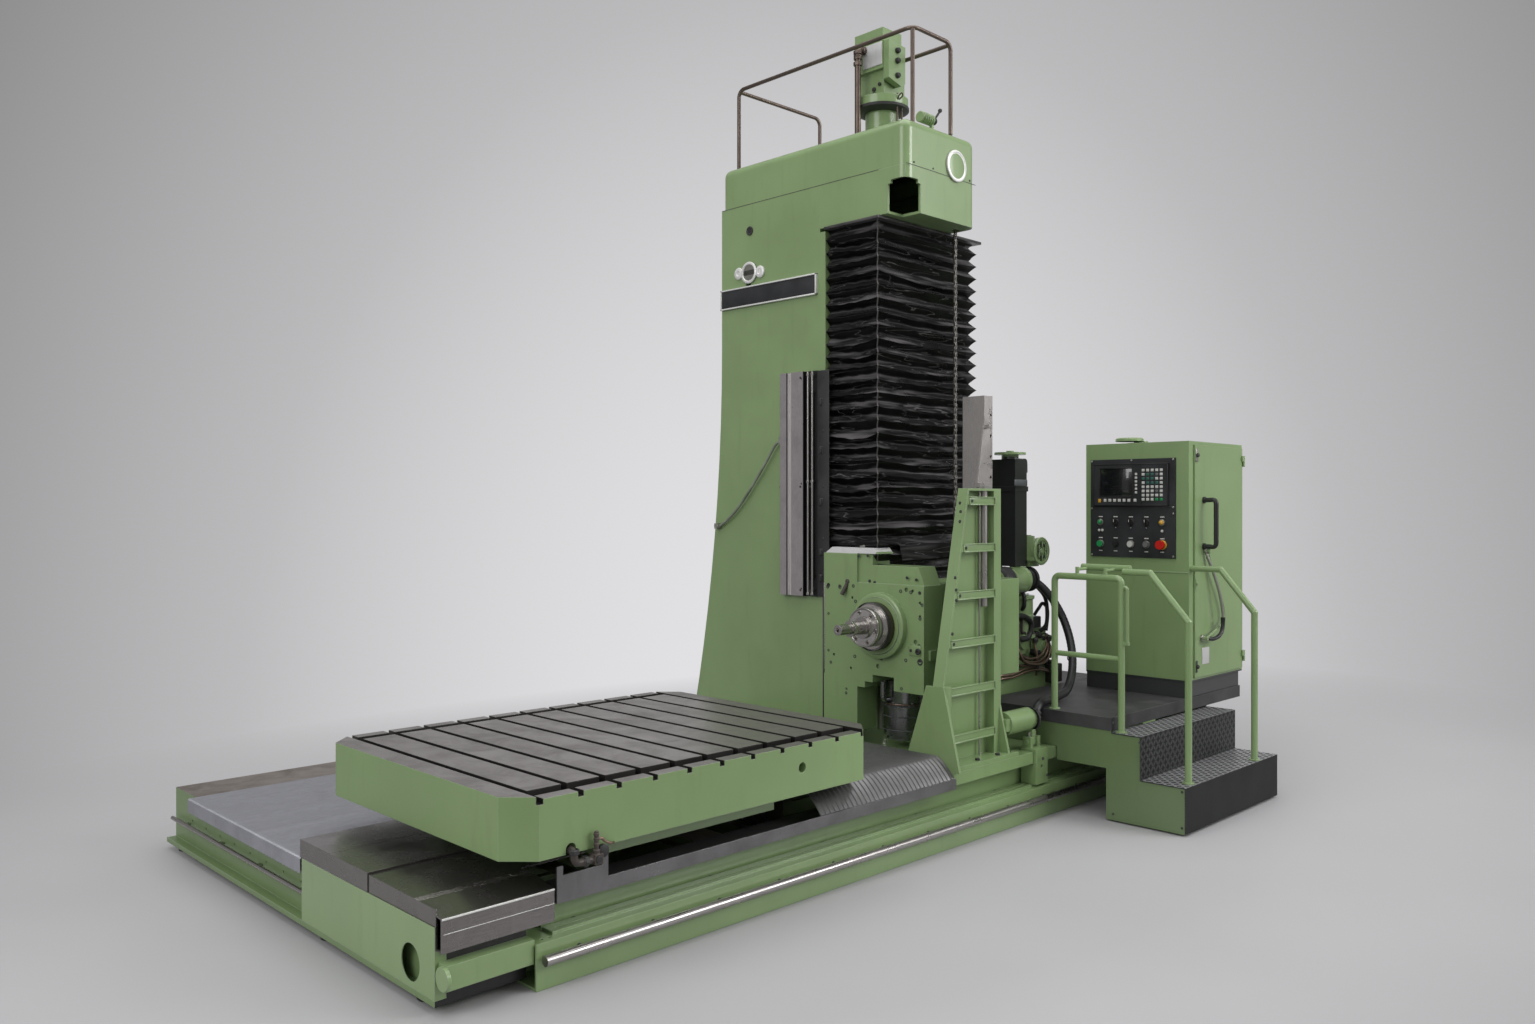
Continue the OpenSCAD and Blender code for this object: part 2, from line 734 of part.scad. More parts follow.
// Coolant elbow and tap in a slot of the table's edge
drain_x = table_x + 219;
drain_r = 13;
drain_y = table_y - 19;
drain_z = table_z + 12;

module coolant_fittings() {
  x1 = drain_x + 90;
  z1 = drain_z - 42;
  color(dark) place() {
    bent_tube([[drain_x, table_y + 39, drain_z], [drain_x, drain_y, drain_z], [drain_x, drain_y, z1],
      [x1, drain_y, z1]], drain_r, 20);
    rod_x([drain_x + 34, drain_y, z1], drain_r + 3, 14);
    block([x1 - 17, drain_y - 17, z1 - 17], [x1 + 17, drain_y + 17, z1 + 17]);
    rod_z([x1, drain_y, z1 + 16], 12, 14);
    rod_z([x1, drain_y, z1 + 29], 8, 62);
    for (z = [z1 + 44, z1 + 62, z1 + 78]) rod_z([x1, drain_y, z], 10, 7);
  }
}

// Column carriage on the column bed's ways
module carriage() {
  color(green) place() difference() {
    union() {
      block([carriage_x, carriage_y, carriage_top - 60],
        [carriage_x1, carriage_y + carriage_w, carriage_top]);
      block([carriage_x, cbed_way_y[0] - 40, carriage_z],
        [carriage_x1, cbed_way_y[1] + way_w + 40, carriage_top]);
      block([carriage_x + 500, cbed_screw_y - 60, cbed_screw_z - 50],
        [carriage_x + 700, cbed_screw_y + 60, carriage_z + over]);
    }
    rod_x([carriage_x, cbed_screw_y, cbed_screw_z], screw_r + 0.5, carriage_l);
  }
}

// Column casting: flared, hollow for the counterweight
function flare_at(z) = column_flare * pow(max(0, (flare_z - z) / (flare_z - carriage_top)), 2);
flare_steps = 10;
column_foot_h = 40;

module column_side() {
  y = column_y;
  polygon(concat([[y, carriage_top], [y, column_top], [y + column_d, column_top]],
    [for (i = [0 : flare_steps]) let (z = flare_z + (carriage_top - flare_z) * i / flare_steps)
      [y + column_d + flare_at(z), z]]));
}

weight_w = 520;
weight_d = 420;
weight_h = 760;
weight_gap = 30;
weight_x = column_x + (column_w - weight_w) / 2;
weight_y = column_y + (column_d - weight_d) / 2;
weight_z = column_top - weight_h - 190;

module column() {
  color(green) place() difference() {
    union() {
      along_x(column_x, column_w) column_side();
      for (x = [column_x, column_x1 - way_w])
        block([x, column_y - cway_t, carriage_top + 60], [x + way_w, column_y + over, cap_bottom - 20]);
      block([column_x, column_y, carriage_top],
        [column_x1 + 60, column_back + column_flare + 60, carriage_top + column_foot_h]);
      block([chain_x - 44, chain_y + 30, column_top - over],
        [chain_x - 24, weight_y + weight_d + 60, sheave_z + 40]);
      for (y = [front_sheave_y, rear_sheave_y]) rod_x([chain_x - 25, y, sheave_z], sheave_pin_r, 46);
    }
    block([weight_x - weight_gap, weight_y - weight_gap, carriage_top + 120],
      [weight_x + weight_w + weight_gap, weight_y + weight_d + weight_gap, column_top + over]);
    rod_x([column_x - over, column_y + 560, 2875], 22, 60);
  }
}

// The cap's plan: wide over the column, narrower in front
module cap_plan(inset) {
  translate([column_x + inset, cap_y + inset])
    round_rect(cap_w - 2 * inset, cap_reach + column_d - 2 * inset, cap_r);
  translate([column_x + inset, column_y + inset])
    round_rect(column_w - 2 * inset, column_d - 2 * inset, cap_r);
}

arch_w = 120;
arch_h = 171;
arch_r = 20;

module cap_base() {
  color(green) place() difference() {
    translate([0, 0, cap_bottom]) linear_extrude(cap_drop) cap_plan(0);
    block([column_x - over, column_y - over / 100, cap_bottom - over],
      [column_x1 + over, column_back + over, column_top + over]);
    block([column_x + cap_wall, cap_y + cap_wall, cap_bottom + cap_wall],
      [column_x + cap_w - cap_wall, column_y + over, column_top + over]);
    translate([column_x - over, cap_y - over, cap_bottom - over]) cube([arch_w, arch_w, arch_h - arch_r]);
    translate([column_x - over, cap_y - over, cap_bottom + arch_h - arch_r - 2])
      cube([arch_w - arch_r, arch_w - arch_r, arch_r]);
    rod_z([z_screw_x, z_screw_y, cap_bottom - over], screw_r + 10, 40);
    block([chain_x - 32, chain_y - 26, cap_bottom - over], [chain_x + 32, chain_y + 26, cap_bottom + 20]);
  }
}

// A box with round upright corners and round upper edges
module round_top_box(low, high, r) {
  size = high - low;
  translate(low) linear_extrude(size.z - r) round_rect(size.x, size.y, r);
  block(low + [r, r, 0], high - [r, r, 0]);
  for (y = [low.y + r, high.y - r]) rod_x([low.x + r, y, high.z - r], r, size.x - 2 * r);
  for (x = [low.x + r, high.x - r]) {
    rod_y([x, low.y + r, high.z - r], r, size.y - 2 * r);
    for (y = [low.y + r, high.y - r]) translate([x, y, high.z - r]) sphere(r = r);
  }
}

module cap_shell(inset, r) {
  low_z = column_top - over * inset;
  round_top_box([column_x + inset, cap_y + inset, low_z],
    [column_x + cap_w - inset, column_back - inset, cap_top - inset], r);
  round_top_box([column_x + cap_w - 200 + inset, column_y + inset, low_z],
    [column_x1 - inset, column_back - inset, cap_top - inset], r);
}

module cap_cover() {
  color(green) place() difference() {
    cap_shell(0, cap_r);
    cap_shell(cap_wall, cap_r - cap_wall);
    rod_z([z_screw_x, z_screw_y, cap_top - 40], screw_r + 10, 60);
    rod_z([z_screw_x - 168, z_screw_y + 30, cap_top - 40], pipe_r + 1, 60);
  }
}

// Bare plates where the maker's signs would be
plate_w = 440;

module blank_plates() {
  color(steel) place() {
    block([column_x - 6, column_back - plate_w - 4, 2742], [column_x, column_back - 4, 2842]);
    rod_x([column_x - 10, column_back - 240, 2935], 62, 10);
    rod_y([column_x + 417, cap_y - 8, cap_bottom + 300], 84, 8);
  }
}

// Thin steel handrail round the top
top_rail_r = 11;
top_rail_h = 488;
top_rail_x = column_x + 100;
top_rail_y = cap_y + 34;

top_rail_l = 320;
rail_bend = 45;
corner_in = rail_bend * (1 - sqrt(0.5));

module top_handrail() {
  x0 = top_rail_x;
  x1 = top_rail_x + top_rail_l;
  x2 = column_x1 - 80;
  y0 = top_rail_y;
  y1 = column_back - 40;
  y2 = z_screw_y + 152;
  z1 = cap_top + top_rail_h;
  side_z = z1 - corner_in;
  color(brown_steel) place() {
    bent_tube([[x0, y1, cap_top], [x0, y1, z1], [x0, y0, z1], [x1, y0, z1], [x1, y0, cap_top]],
      top_rail_r, rail_bend);
    rod_z([x0 + corner_in, y0 + corner_in, cap_top], top_rail_r, top_rail_h);
    bent_tube([[x1 - corner_in, y0, side_z], [x1 - corner_in, y2, side_z], [x1 - corner_in, y2, cap_top]],
      top_rail_r, rail_bend);
    bent_tube([[x0, y1 - corner_in, side_z], [x2, y1 - corner_in, side_z], [x2, y1 - corner_in, cap_top]],
      top_rail_r, rail_bend);
  }
}

// Feed motor for the vertical screw
motor_lift = 215;
motor_z = cap_top + motor_lift;

module feed_motor() {
  x = z_screw_x;
  y = z_screw_y;
  color(green) place() difference() {
    union() {
      rod_z([x, y, cap_top], 92, motor_lift);
      rod_z([x, y, motor_z - over], 145, 46);
      block([x - 88, y - 88, motor_z + 44], [x + 88, y + 88, motor_z + 230]);
      block([x - 112, y - 100, motor_z + 180],
        [x + 46, y + 100, motor_z + 400]);
    }
    rod_z([x, y, cap_top - over], screw_r + 4, 80);
    for (i = [0 : 5]) rotate_about([x, y, 0], 60 * i + 20)
      rod_z([x + 125, y, motor_z + 24], 8, 30);
  }
}

module rotate_about(p, a) {
  translate(p) rotate([0, 0, a]) translate(-p) children();
}

pipe_r = 17;

module motor_conduit() {
  x = z_screw_x - 168;
  y = z_screw_y + 30;
  z = motor_z + 300;
  color(brown_steel) place() {
    bent_tube([[x, y, cap_top - 30], [x, y, z], [z_screw_x - 112, y, z]], pipe_r, 30);
    rod_z([x, y, z - 60], pipe_r + 6, 24);
    rod_z([x, y, cap_top], pipe_r + 12, 12);
  }
}

module z_screw() {
  color(steel) place()
    rod_z([z_screw_x, z_screw_y, carriage_top + 30], screw_r, cap_top + 30 - carriage_top);
}

// Chain over two sheaves, down to the counterweight
chain_x = column_x + 560;
chain_y = cap_y + 107;
sheave_r = 84;
sheave_w = 30;
sheave_pin_r = 15;
sheave_z = column_top + 40;
chain_t = 16;
front_sheave_y = chain_y + sheave_r;
rear_sheave_y = weight_y + weight_d / 2 - sheave_r;

module sheave(y) {
  difference() {
    union() {
      rod_x([chain_x - sheave_w / 2, y, sheave_z], sheave_r - chain_t / 2 - 0.3, sheave_w);
      for (x = [chain_x - sheave_w / 2 - 6, chain_x + sheave_w / 2])
        rod_x([x, y, sheave_z], sheave_r + 4, 6);
    }
    rod_x([chain_x - 40, y, sheave_z], sheave_pin_r + fit, 80);
  }
}

module front_sheave() {
  color(steel) place() sheave(front_sheave_y);
}

module rear_sheave() {
  color(steel) place() sheave(rear_sheave_y);
}

link_pitch = 50;
link_w = 24;
chain_end = head_z1 + 24;

// One run of leaf chain hanging down from z1 to z0
module chain_run(y, z0, z1) {
  links = floor((z1 - z0) / link_pitch);
  step = (z1 - z0) / links;
  for (i = [0 : links - 1]) {
    z = z0 + i * step;
    for (x = i % 2 == 0 ? [-11, 5] : [-4])
      along_x(chain_x + x, i % 2 == 0 ? 6 : 8) {
        translate([y - chain_t / 2 + 2, z]) square([chain_t - 4, step]);
        translate([y, z]) circle(r = chain_t / 2);
        translate([y, z + step]) circle(r = chain_t / 2);
      }
    rod_x([chain_x - 13, y, z], 4, 26);
  }
  rod_x([chain_x - 13, y, z1], 4, 26);
}

module lift_chain() {
  color(steel) place() {
    chain_run(chain_y, chain_end, sheave_z);
    for (y = [front_sheave_y, rear_sheave_y])
      translate([chain_x - link_w / 2, y, sheave_z]) rotate([90, 0, 90])
        rotate([0, 0, y == front_sheave_y ? 90 : 0])
          rotate_extrude(angle = 90) translate([sheave_r - chain_t / 2 + 0.3, 0])
            square([chain_t, link_w]);
    block([chain_x - link_w / 2, front_sheave_y, sheave_z + sheave_r - chain_t / 2 + 0.3],
      [chain_x + link_w / 2, rear_sheave_y, sheave_z + sheave_r + chain_t / 2 + 0.3]);
  }
}

module counterweight_chain() {
  color(steel) place()
    block([chain_x - link_w / 2, weight_y + weight_d / 2 - chain_t / 2 + 0.3, weight_z + weight_h],
      [chain_x + link_w / 2, weight_y + weight_d / 2 + chain_t / 2 + 0.3, sheave_z - slide_gap]);
}

module counterweight() {
  color(dark) place() block([weight_x, weight_y, weight_z],
    [weight_x + weight_w, weight_y + weight_d, weight_z + weight_h]);
}

// Steel guard and limit rods on the column's left face
guard_z0 = 1104;
guard_z1 = 2328;
guard_y0 = column_y + 90;

module scale_guard() {
  x = column_x;
  color(steel) place() {
    difference() {
      block([x - 36, guard_y0, guard_z0], [x, guard_y0 + 179, guard_z1]);
      block([x - 37, guard_y0 + 100, guard_z0 - over], [x - 22, guard_y0 + 118, guard_z1 + over]);
      for (z = [guard_z0 + 40, (guard_z0 + guard_z1) / 2, guard_z1 - 40])
        rod_x([x - 37, guard_y0 + 16, z], 6, 12);
    }
    block([x - 14, guard_y0 - 86, guard_z0], [x, guard_y0, guard_z1]);
    for (y = [guard_y0 - 30, guard_y0 - 52])
      rod_z([x - 24, y, guard_z0 + 90], 6, guard_z1 - guard_z0 - 200);
    for (z = [guard_z0 + 100, (guard_z0 + guard_z1) / 2, guard_z1 - 130])
      block([x - 30, guard_y0 - 60, z], [x - 13, guard_y0 - 22, z + 16]);
  }
}

// Conduit from the guard to the column's edge
conduit_points = [[-18, 282, 1960], [-26, 320, 1930], [-26, 400, 1830], [-24, 520, 1690],
  [-22, 640, 1570], [-20, 740, 1500], [-16, 790, 1476]];

module scale_conduit() {
  color(dark) place() translate([column_x, column_y, 0]) {
    hose(conduit_points, 8, 4, 8);
    block([-34, 269, 1940], [-8, 284, 1980]);
    rod_y([-16, 790, 1476], 14, 34);
    block([-30, 800, 1460], [0, 822, 1492]);
  }
}

// Measuring tower: a welded open frame with rungs
tower_x1 = carriage_x + tower_w;
tower_y = carriage_y + 68;
tower_base = carriage_top;
tower_lean_x = tower_x1 - tower_top_w;
rung_z = [for (i = [0 : 5]) tower_top - 62 - i * 230];

function tower_left(z) = z <= tower_knee ? carriage_x + 2
  : carriage_x + 2 + (tower_lean_x - carriage_x - 2) * (z - tower_knee) / (tower_top - tower_knee);

module tower_outline(inset) {
  polygon([[tower_left(tower_base) + inset, tower_base], [tower_x1, tower_base], [tower_x1, tower_top],
    [tower_lean_x + inset, tower_top], [tower_left(tower_knee) + inset, tower_knee]]);
}

module tower() {
  y = tower_y;
  color(green) place() difference() {
    union() {
      along_y(y, tower_d) difference() {
        tower_outline(0);
        difference() {
          tower_outline(tower_t);
          translate([tower_x1 - tower_d, tower_base - over]) square([tower_d + over, tower_top]);
          translate([carriage_x, tower_top - tower_t]) square([tower_w, tower_t + over]);
        }
      }
      along_y(y + tower_d - tower_t, tower_t) tower_outline(0);
      for (z = rung_z) block([tower_left(z) + tower_t - over, y, z - 20],
        [tower_x1 - tower_d + over, y + 10, z + 20]);
      along_x(carriage_x + 2, 16) polygon([[y - 95, tower_base], [y - 2, tower_knee],
        [y + tower_d + 40, tower_knee], [y + 231, tower_base]]);
      along_x(tower_x1 - 16, 16) polygon([[y - 60, tower_base], [y, tower_base + 260],
        [y + tower_d, tower_base + 260], [y + tower_d, tower_base]]);
      along_y(y + 20, 16) polygon([[tower_x1 - over, tower_base], [tower_x1 + 50, tower_base],
        [tower_x1 - over, tower_base + 280]]);
      block([carriage_x + 2, y - 66, tower_base], [tower_x1 + 60, y + 240, tower_base + 22]);
      rod_z([carriage_x + 34, y + 10, tower_base], 30, tower_knee - tower_base);
    }
    for (x = [carriage_x + 60, carriage_x + 230, carriage_x + 400])
      rod_z([x, y - 38, tower_base - over], 13, 40);
    rod_z([thin_rod_x, tube_y, tower_top - 20], thin_rod_r + over, 40);
  }
}

tube_r = 18;
tube_x = tower_x1 - tower_d - 46;
tube_y = tower_y + tower_d - tower_t - tube_r - 0.3;

// Steel post behind the tower, with a lifting eye
post_x = tower_x1 - 55;
post_y = tower_y + tower_d + 1;
post_w = 70;
post_d = head_y - post_y - 12;
thin_rod_x = tube_x - 36;
thin_rod_r = 5;

module steel_post() {
  color(steel) place() difference() {
    union() {
      block([post_x, post_y, tower_base + 22], [post_x + post_w, post_y + post_d, post_top]);
      along_y(post_y, 14) polygon([[post_x - 62, tower_top + 2], [post_x - 2, tower_top + 330],
        [post_x + 22, tower_top + 330], [post_x + 22, tower_top + 2]]);
      rod_z([tube_x, tube_y, tower_base + 760], tube_r, tower_top - tower_t - tower_base - 761);
      rod_z([thin_rod_x, tube_y, tower_base + 22], thin_rod_r, tower_top - tower_base - 2);
      block([thin_rod_x - 8, tube_y - 8, tower_top + 8], [post_x + 4, post_y + 8, tower_top + 30]);
      translate([post_x + 8, post_y - 24, tower_top + 350]) rotate([90, 0, 0])
        rotate_extrude() translate([16, 0]) circle(r = 6);
      rod_z([post_x + 8, post_y - 24, tower_top + 318], 6, 20);
      block([post_x - 4, post_y - 30, tower_top + 306], [post_x + 20, post_y, tower_top + 322]);
    }
    for (z = [tower_top + 60 : 105 : post_top - 20])
      rod_y([post_x + post_w - 14, post_y - over, z], 8, 20);
  }
}

// Clamp cylinder between the tower and its post
cyl_x = tower_x1 + 34;
cyl_y = carriage_y + 80;
cyl_z = 487;
cyl_r = 59;
cyl_l = 227;
cpost_x = cyl_x + 157;
cpost_w = 110;
cpost_y = carriage_y - 16;
beam_strip_top = beam_w + 10;
ear_t = 24;

module clamp_cylinder() {
  x = cpost_x;
  y = cpost_y;
  color(green) place() difference() {
    union() {
      rod_x([cyl_x, cyl_y, cyl_z], cyl_r, cyl_l);
      block([tower_x1 + 0.3, cyl_y - 45, cyl_z - 30], [cyl_x + 10, cyl_y + 4, cyl_z + 30]);
      block([x, y, beam_strip_top + slide_gap], [x + cpost_w, carriage_y + 75, carriage_top - 66]);
      block([x, y, beam_strip_top + slide_gap],
        [x + cpost_w, carriage_y - slide_gap, carriage_top + 12]);
      block([x - 2, y, carriage_top + 0.3], [x + cpost_w + 2, carriage_y + 76, carriage_top + 14]);
      for (ear_x = [x + 10, x + cpost_w - 10 - ear_t])
        block([ear_x, carriage_y + 22, carriage_top + 13],
          [ear_x + ear_t, carriage_y + 70, carriage_top + 68]);
      rod_x([x + 4, carriage_y + 46, carriage_top + 42], 12, cpost_w - 8);
      block([x + 38, carriage_y + 30, carriage_top + 26], [x + 66, carriage_y + 66, cyl_z - cyl_r + 10]);
    }
    rod_y([x + cpost_w / 2, y - over, beam_strip_top + 90], 9, 40);
  }
  color(dark) place() {
    rod_x([cyl_x + cyl_l, cyl_y, cyl_z], cyl_r - 6, 14);
    for (i = [0 : 7])
      rod_x([cyl_x + cyl_l + 13, cyl_y + 36 * cos(45 * i), cyl_z + 36 * sin(45 * i)], 9, 13);
    rod_x([cyl_x + cyl_l + 13, cyl_y, cyl_z], 16, 50);
  }
}

// Pump and gear unit beside the column
unit_x = platform_x + 205;
unit_y = platform_y + platform_d + 58;
unit_z = deck_z + 77;

module gear_case() {
  x = unit_x;
  y = unit_y;
  color(green) place() {
    block([x - 60, y, carriage_top], [x + 660, y + 420, unit_z]);
    block([x, y + 40, unit_z - over], [x + 430, y + 380, unit_z + 470]);
    block([x + 60, y + 8, unit_z + 60], [x + 200, y + 41, unit_z + 430]);
    block([x + 250, y + 14, unit_z + 120], [x + 400, y + 41, unit_z + 400]);
    rod_y([x + 130, y - 16, unit_z + 130], 62, 30);
    rod_y([x + 325, y - 4, unit_z + 200], 52, 20);
    rod_x([x + 40, y + 20, unit_z + 560], 66, 190);
    block([x + 20, y + 20, unit_z + 469], [x + 228, y + 120, unit_z + 560]);
    for (i = [0 : 3]) rod_x([x + 40 + 44 * i, y + 20, unit_z + 560], 72, 12);
    block([x + 440, y + 30, unit_z - over], [x + 600, y + 260, unit_z + 260]);
    rod_y([x + 520, y, unit_z + 140], 78, 31);
    block([x + 429, y + 60, unit_z + 40], [x + 441, y + 240, unit_z + 220]);
  }
}

tank_w = 121;
tank_d = 205;
tank_z0 = unit_z + 640;
tank_h = 630;

module oil_tank() {
  x = unit_x + 240;
  y = unit_y + 10;
  color(dark) place() {
    block([x, y, tank_z0], [x + tank_w, y + tank_d, tank_z0 + tank_h]);
    block([x - 8, y - 6, tank_z0 + tank_h - 190], [x + tank_w + 6, y + tank_d + 6, tank_z0 + tank_h - 160]);
    block([x + 10, y + 150, unit_z + 470], [x + 90, y + tank_d, tank_z0 + over]);
    rod_z([x + 36, y + 60, tank_z0 + tank_h], 50, 26);
    rod_z([x + 36, y + 60, tank_z0 + tank_h + 26], 92, 14);
    rod_z([x + 36, y + 60, tank_z0 + tank_h + 40], 22, 10);
  }
}

module pump_motor() {
  x = unit_x + 240 + tank_w + 75;
  y = unit_y - 20;
  z = unit_z + 726;
  color(green) place() difference() {
    union() {
      rod_y([x, y, z], 74, 210);
      rod_y([x, y - 26, z], 80, 28);
      block([x - 60, y + 20, z - 92], [x + 40, y + 160, z - 50]);
      block([x - 60, y + 84, unit_z + 470.3], [x - 20, y + 160, z - 80]);
      block([x - 62, y + 14, z - 60], [x - 50, y + 60, z + 96]);
    }
    for (i = [0 : 5]) rotate_y_about([x, y, z], 60 * i)
      block([x + 22, y - 30, z - 7], [x + 62, y - 12, z + 7]);
    rod_y([x, y - 30, z], 12, 18);
  }
}

module rotate_y_about(p, a) {
  translate(p) rotate([0, a, 0]) translate(-p) children();
}

connector_z = unit_z + 560;

module unit_pipes() {
  x = unit_x;
  y = unit_y;
  z = unit_z;
  color(dark) place() {
    rod_x([x + 230, y + 20, connector_z], 46, 96);
    rod_x([x + 236, y + 20, connector_z], 58, 14);
    rod_x([x + 300, y + 20, connector_z], 52, 20);
    bent_tube([[x + 30, y + 39.7, z + 420], [x + 30, y - 46, z + 420], [x + 30, y - 46, z + 120],
      [x + 190, y - 46, z + 120], [x + 190, y - 46, z + 330], [x + 190, y + 7.7, z + 330]], 9, 26);
    bent_tube([[x + 90, y + 7.7, z + 380], [x + 90, y - 26, z + 380], [x + 90, y - 26, z + 60],
      [x + 300, y - 26, z + 60], [x + 300, y - 26, z + 100]], 8, 16);
    rod_y([x + 300, y - 38, z + 100], 16, 77.7);
    bent_tube([[x + 270, y + 13.7, z + 340], [x + 270, y - 14, z + 340], [x + 270, y - 14, z + 250],
      [x + 385, y - 14, z + 250], [x + 385, y + 13.7, z + 250]], 8, 12);
  }
}

// Thick hose from the unit to the cylinder
hose_r = 24;
hose_points = [[326.3, 0, 560], [352, 0, 560], [376, 0, 560], [440, -40, 530], [490, -95, 450],
  [500, -170, 330],
  [452, -250, 190], [330, -332, 66], [170, -396, -30]];

module loop_hose() {
  color(dark) place() translate([unit_x, unit_y + 20, unit_z]) hose(hose_points, hose_r, 4, 12);
}

// Platform: a frame with a side plate, and a black deck
plate_t = 6;
deck_back = platform_y + platform_d;
platform_x1 = platform_x + platform_l;

module platform_side() {
  polygon([[sheet_t, floor_gap], [platform_y + 27, floor_gap], [platform_y + 27, carriage_z + 30],
    [carriage_y - 10, carriage_z + 30], [carriage_y - 10, carriage_top + 2],
    [deck_back, carriage_top + 2], [deck_back, deck_z - plate_t],
    [platform_y, deck_z - plate_t], [platform_y, tread_up_z - sheet_t],
    [tread_low_d + sheet_t, tread_up_z - sheet_t], [tread_low_d + sheet_t, tread_low_z - sheet_t],
    [sheet_t, tread_low_z - sheet_t]]);
}

module platform() {
  color(green) place() {
    along_x(platform_x, plate_t) platform_side();
    along_x(platform_x + stair_l - plate_t, plate_t) platform_side();
    block([platform_x + plate_t, deck_back - plate_t, carriage_top],
      [platform_x1, deck_back, deck_z - plate_t]);
    block([platform_x + plate_t, platform_y + 21, floor_gap + 30],
      [platform_x + stair_l - plate_t, platform_y + 27, carriage_z + 30]);
    for (y = [platform_y + 12, carriage_y + 40, deck_back - 60])
      block([platform_x + plate_t, y, deck_z - 62], [platform_x1, y + 50, deck_z - plate_t]);
    for (x = [platform_x + 60, platform_x + 500, carriage_x1 - 90])
      block([x, carriage_y + 42, carriage_top], [x + 60, carriage_y + 88, deck_z - 60]);
  }
}

module platform_deck() {
  color(dark) place() difference() {
    block([platform_x - 3, platform_y - 3, deck_z - deck_edge], [platform_x1 + 3, deck_back + 3, deck_z]);
    block([platform_x, platform_y, deck_z - deck_edge - over], [platform_x1, deck_back, deck_z - plate_t]);
  }
}

// Folded stair sheet, drawn as one bent strip
module stair_plates() {
  t = sheet_t;
  color(dark) place() {
    along_x(platform_x - 4, stair_l + 8) polygon([[-0, floor_gap + 4], [0, tread_low_z],
      [tread_low_d, tread_low_z], [tread_low_d, tread_up_z], [platform_y - 3 - slide_gap, tread_up_z],
      [platform_y - 3 - slide_gap, tread_up_z - t], [tread_low_d + t, tread_up_z - t],
      [tread_low_d + t, tread_low_z - t], [t, tread_low_z - t], [t, floor_gap + 4]]);
  }
}

// Handrails of the platform and stairs
guard_x = platform_x + 35;
guard_y1 = platform_y - 39;
guard_y2 = platform_y + 345;
stair_rail_x = [guard_x + 70, platform_x1 - cab_l + 31];
stair_post_y = [38, 30];
stair_knee_z = tread_low_z + 789;
bar_x = stair_rail_x[0] + 2 * rail_r + 4;
guard_top = deck_z + guard_h;

// A stair rail: post, slanting length from the knee, level length
module stair_rail(i, run, y2, z2) {
  knee = [stair_rail_x[i], stair_post_y[i], stair_knee_z];
  corner = [knee.x, knee.y + run, z2];
  rod_z([knee.x, knee.y, tread_low_z], rail_r, knee.z - tread_low_z);
  translate(knee) rotate([-atan2(run, z2 - knee.z), 0, 0])
    cylinder(h = norm(corner - knee), r = rail_r);
  rod_y(corner, rail_r, y2 - corner.y);
  for (p = [knee, corner]) translate(p) sphere(r = rail_r + 0.5);
}

module handrails() {
  color(green) place() {
    bent_tube([[guard_x, guard_y1, tread_up_z], [guard_x, guard_y1, guard_top],
      [guard_x, guard_y2, guard_top], [guard_x, guard_y2, deck_z]], rail_r, 30);
    rod_y([guard_x, guard_y1, guard_top - 408], rail_r - 3, guard_y2 - guard_y1);
    bent_tube([[guard_x, guard_y1, guard_top - 44], [guard_x, guard_y1 - 32, guard_top - 44],
      [guard_x, guard_y1 - 32, guard_top - 325]], 9, 14);
    block([guard_x - 7, guard_y1 - 42, guard_top - 335], [guard_x + 7, guard_y1, guard_top - 318]);
    stair_rail(0, 201, guard_y1 + 28, guard_top + 30);
    stair_rail(1, 184, cab_y - 0.3, guard_top + 19);
    rod_y([bar_x, guard_y1 + 8, guard_top + 46], rail_r, 276);
    rod_x([stair_rail_x[0], guard_y1 + 18, guard_top + 38], 8, bar_x - stair_rail_x[0]);
    for (y = [guard_y1 + 90, guard_y1 + 250]) {
      rod_x([guard_x, y, guard_top + 38], 8, bar_x - guard_x);
      rod_z([guard_x, y, guard_top], 10, 50);
    }
    rod_z([guard_x, guard_y1, tread_up_z], rail_r + 12, 6);
    rod_z([guard_x, guard_y2, deck_z], rail_r + 12, 6);
    for (i = [0, 1]) rod_z([stair_rail_x[i], stair_post_y[i], tread_low_z], rail_r + 12, 6);
  }
}

// Hollow control cabinet on a plinth, with a side door
cab_x = platform_x1 - cab_l;
cab_y = platform_y - 16;
cab_z = deck_z + plinth_h;
cab_top = cab_z + cab_h;
door_x = cab_x + 53;
door_w = cab_l - 53 - 16;

module cabinet() {
  color(green) place() difference() {
    union() {
      block([cab_x, cab_y, cab_z], [cab_x + cab_l, cab_y + cab_w, cab_top]);
      rod_z([cab_x + 180, cab_y + 380, cab_top], 78, 8);
      rod_z([cab_x + 180, cab_y + 380, cab_top], 40, 18);
      block([cab_x - 3, cab_y + 6, cab_z + 606], [cab_x + over, cab_y + cab_w - 6, cab_z + 612]);
    }
    block([cab_x + cab_wall, cab_y + cab_wall, cab_z + cab_wall],
      [cab_x + cab_l - cab_wall, cab_y + cab_w - cab_wall, cab_top - cab_wall]);
    block([door_x - slide_gap, cab_y - over, cab_z + 20],
      [door_x + door_w + slide_gap, cab_y + cab_wall + over, cab_top - 20]);
    for (y = control_y) rod_x([cab_x - over, y, row_z[0]], 9, cab_wall + 2 * over);
  }
  color(dark) place() {
    block([cab_x + 3, platform_y + 4, deck_z], [cab_x + cab_l - 3, cab_y + cab_w - 3, cab_z]);
    for (z = hinge_z) {
      block([hinge_x, hinge_y, z], [hinge_x + 6, cab_y + over, z + hinge_h]);
      rod_z([hinge_x, hinge_y, z], hinge_r, hinge_h);
      rod_z([hinge_x, hinge_y, z], pin_r, 2 * hinge_h);
    }
  }
}

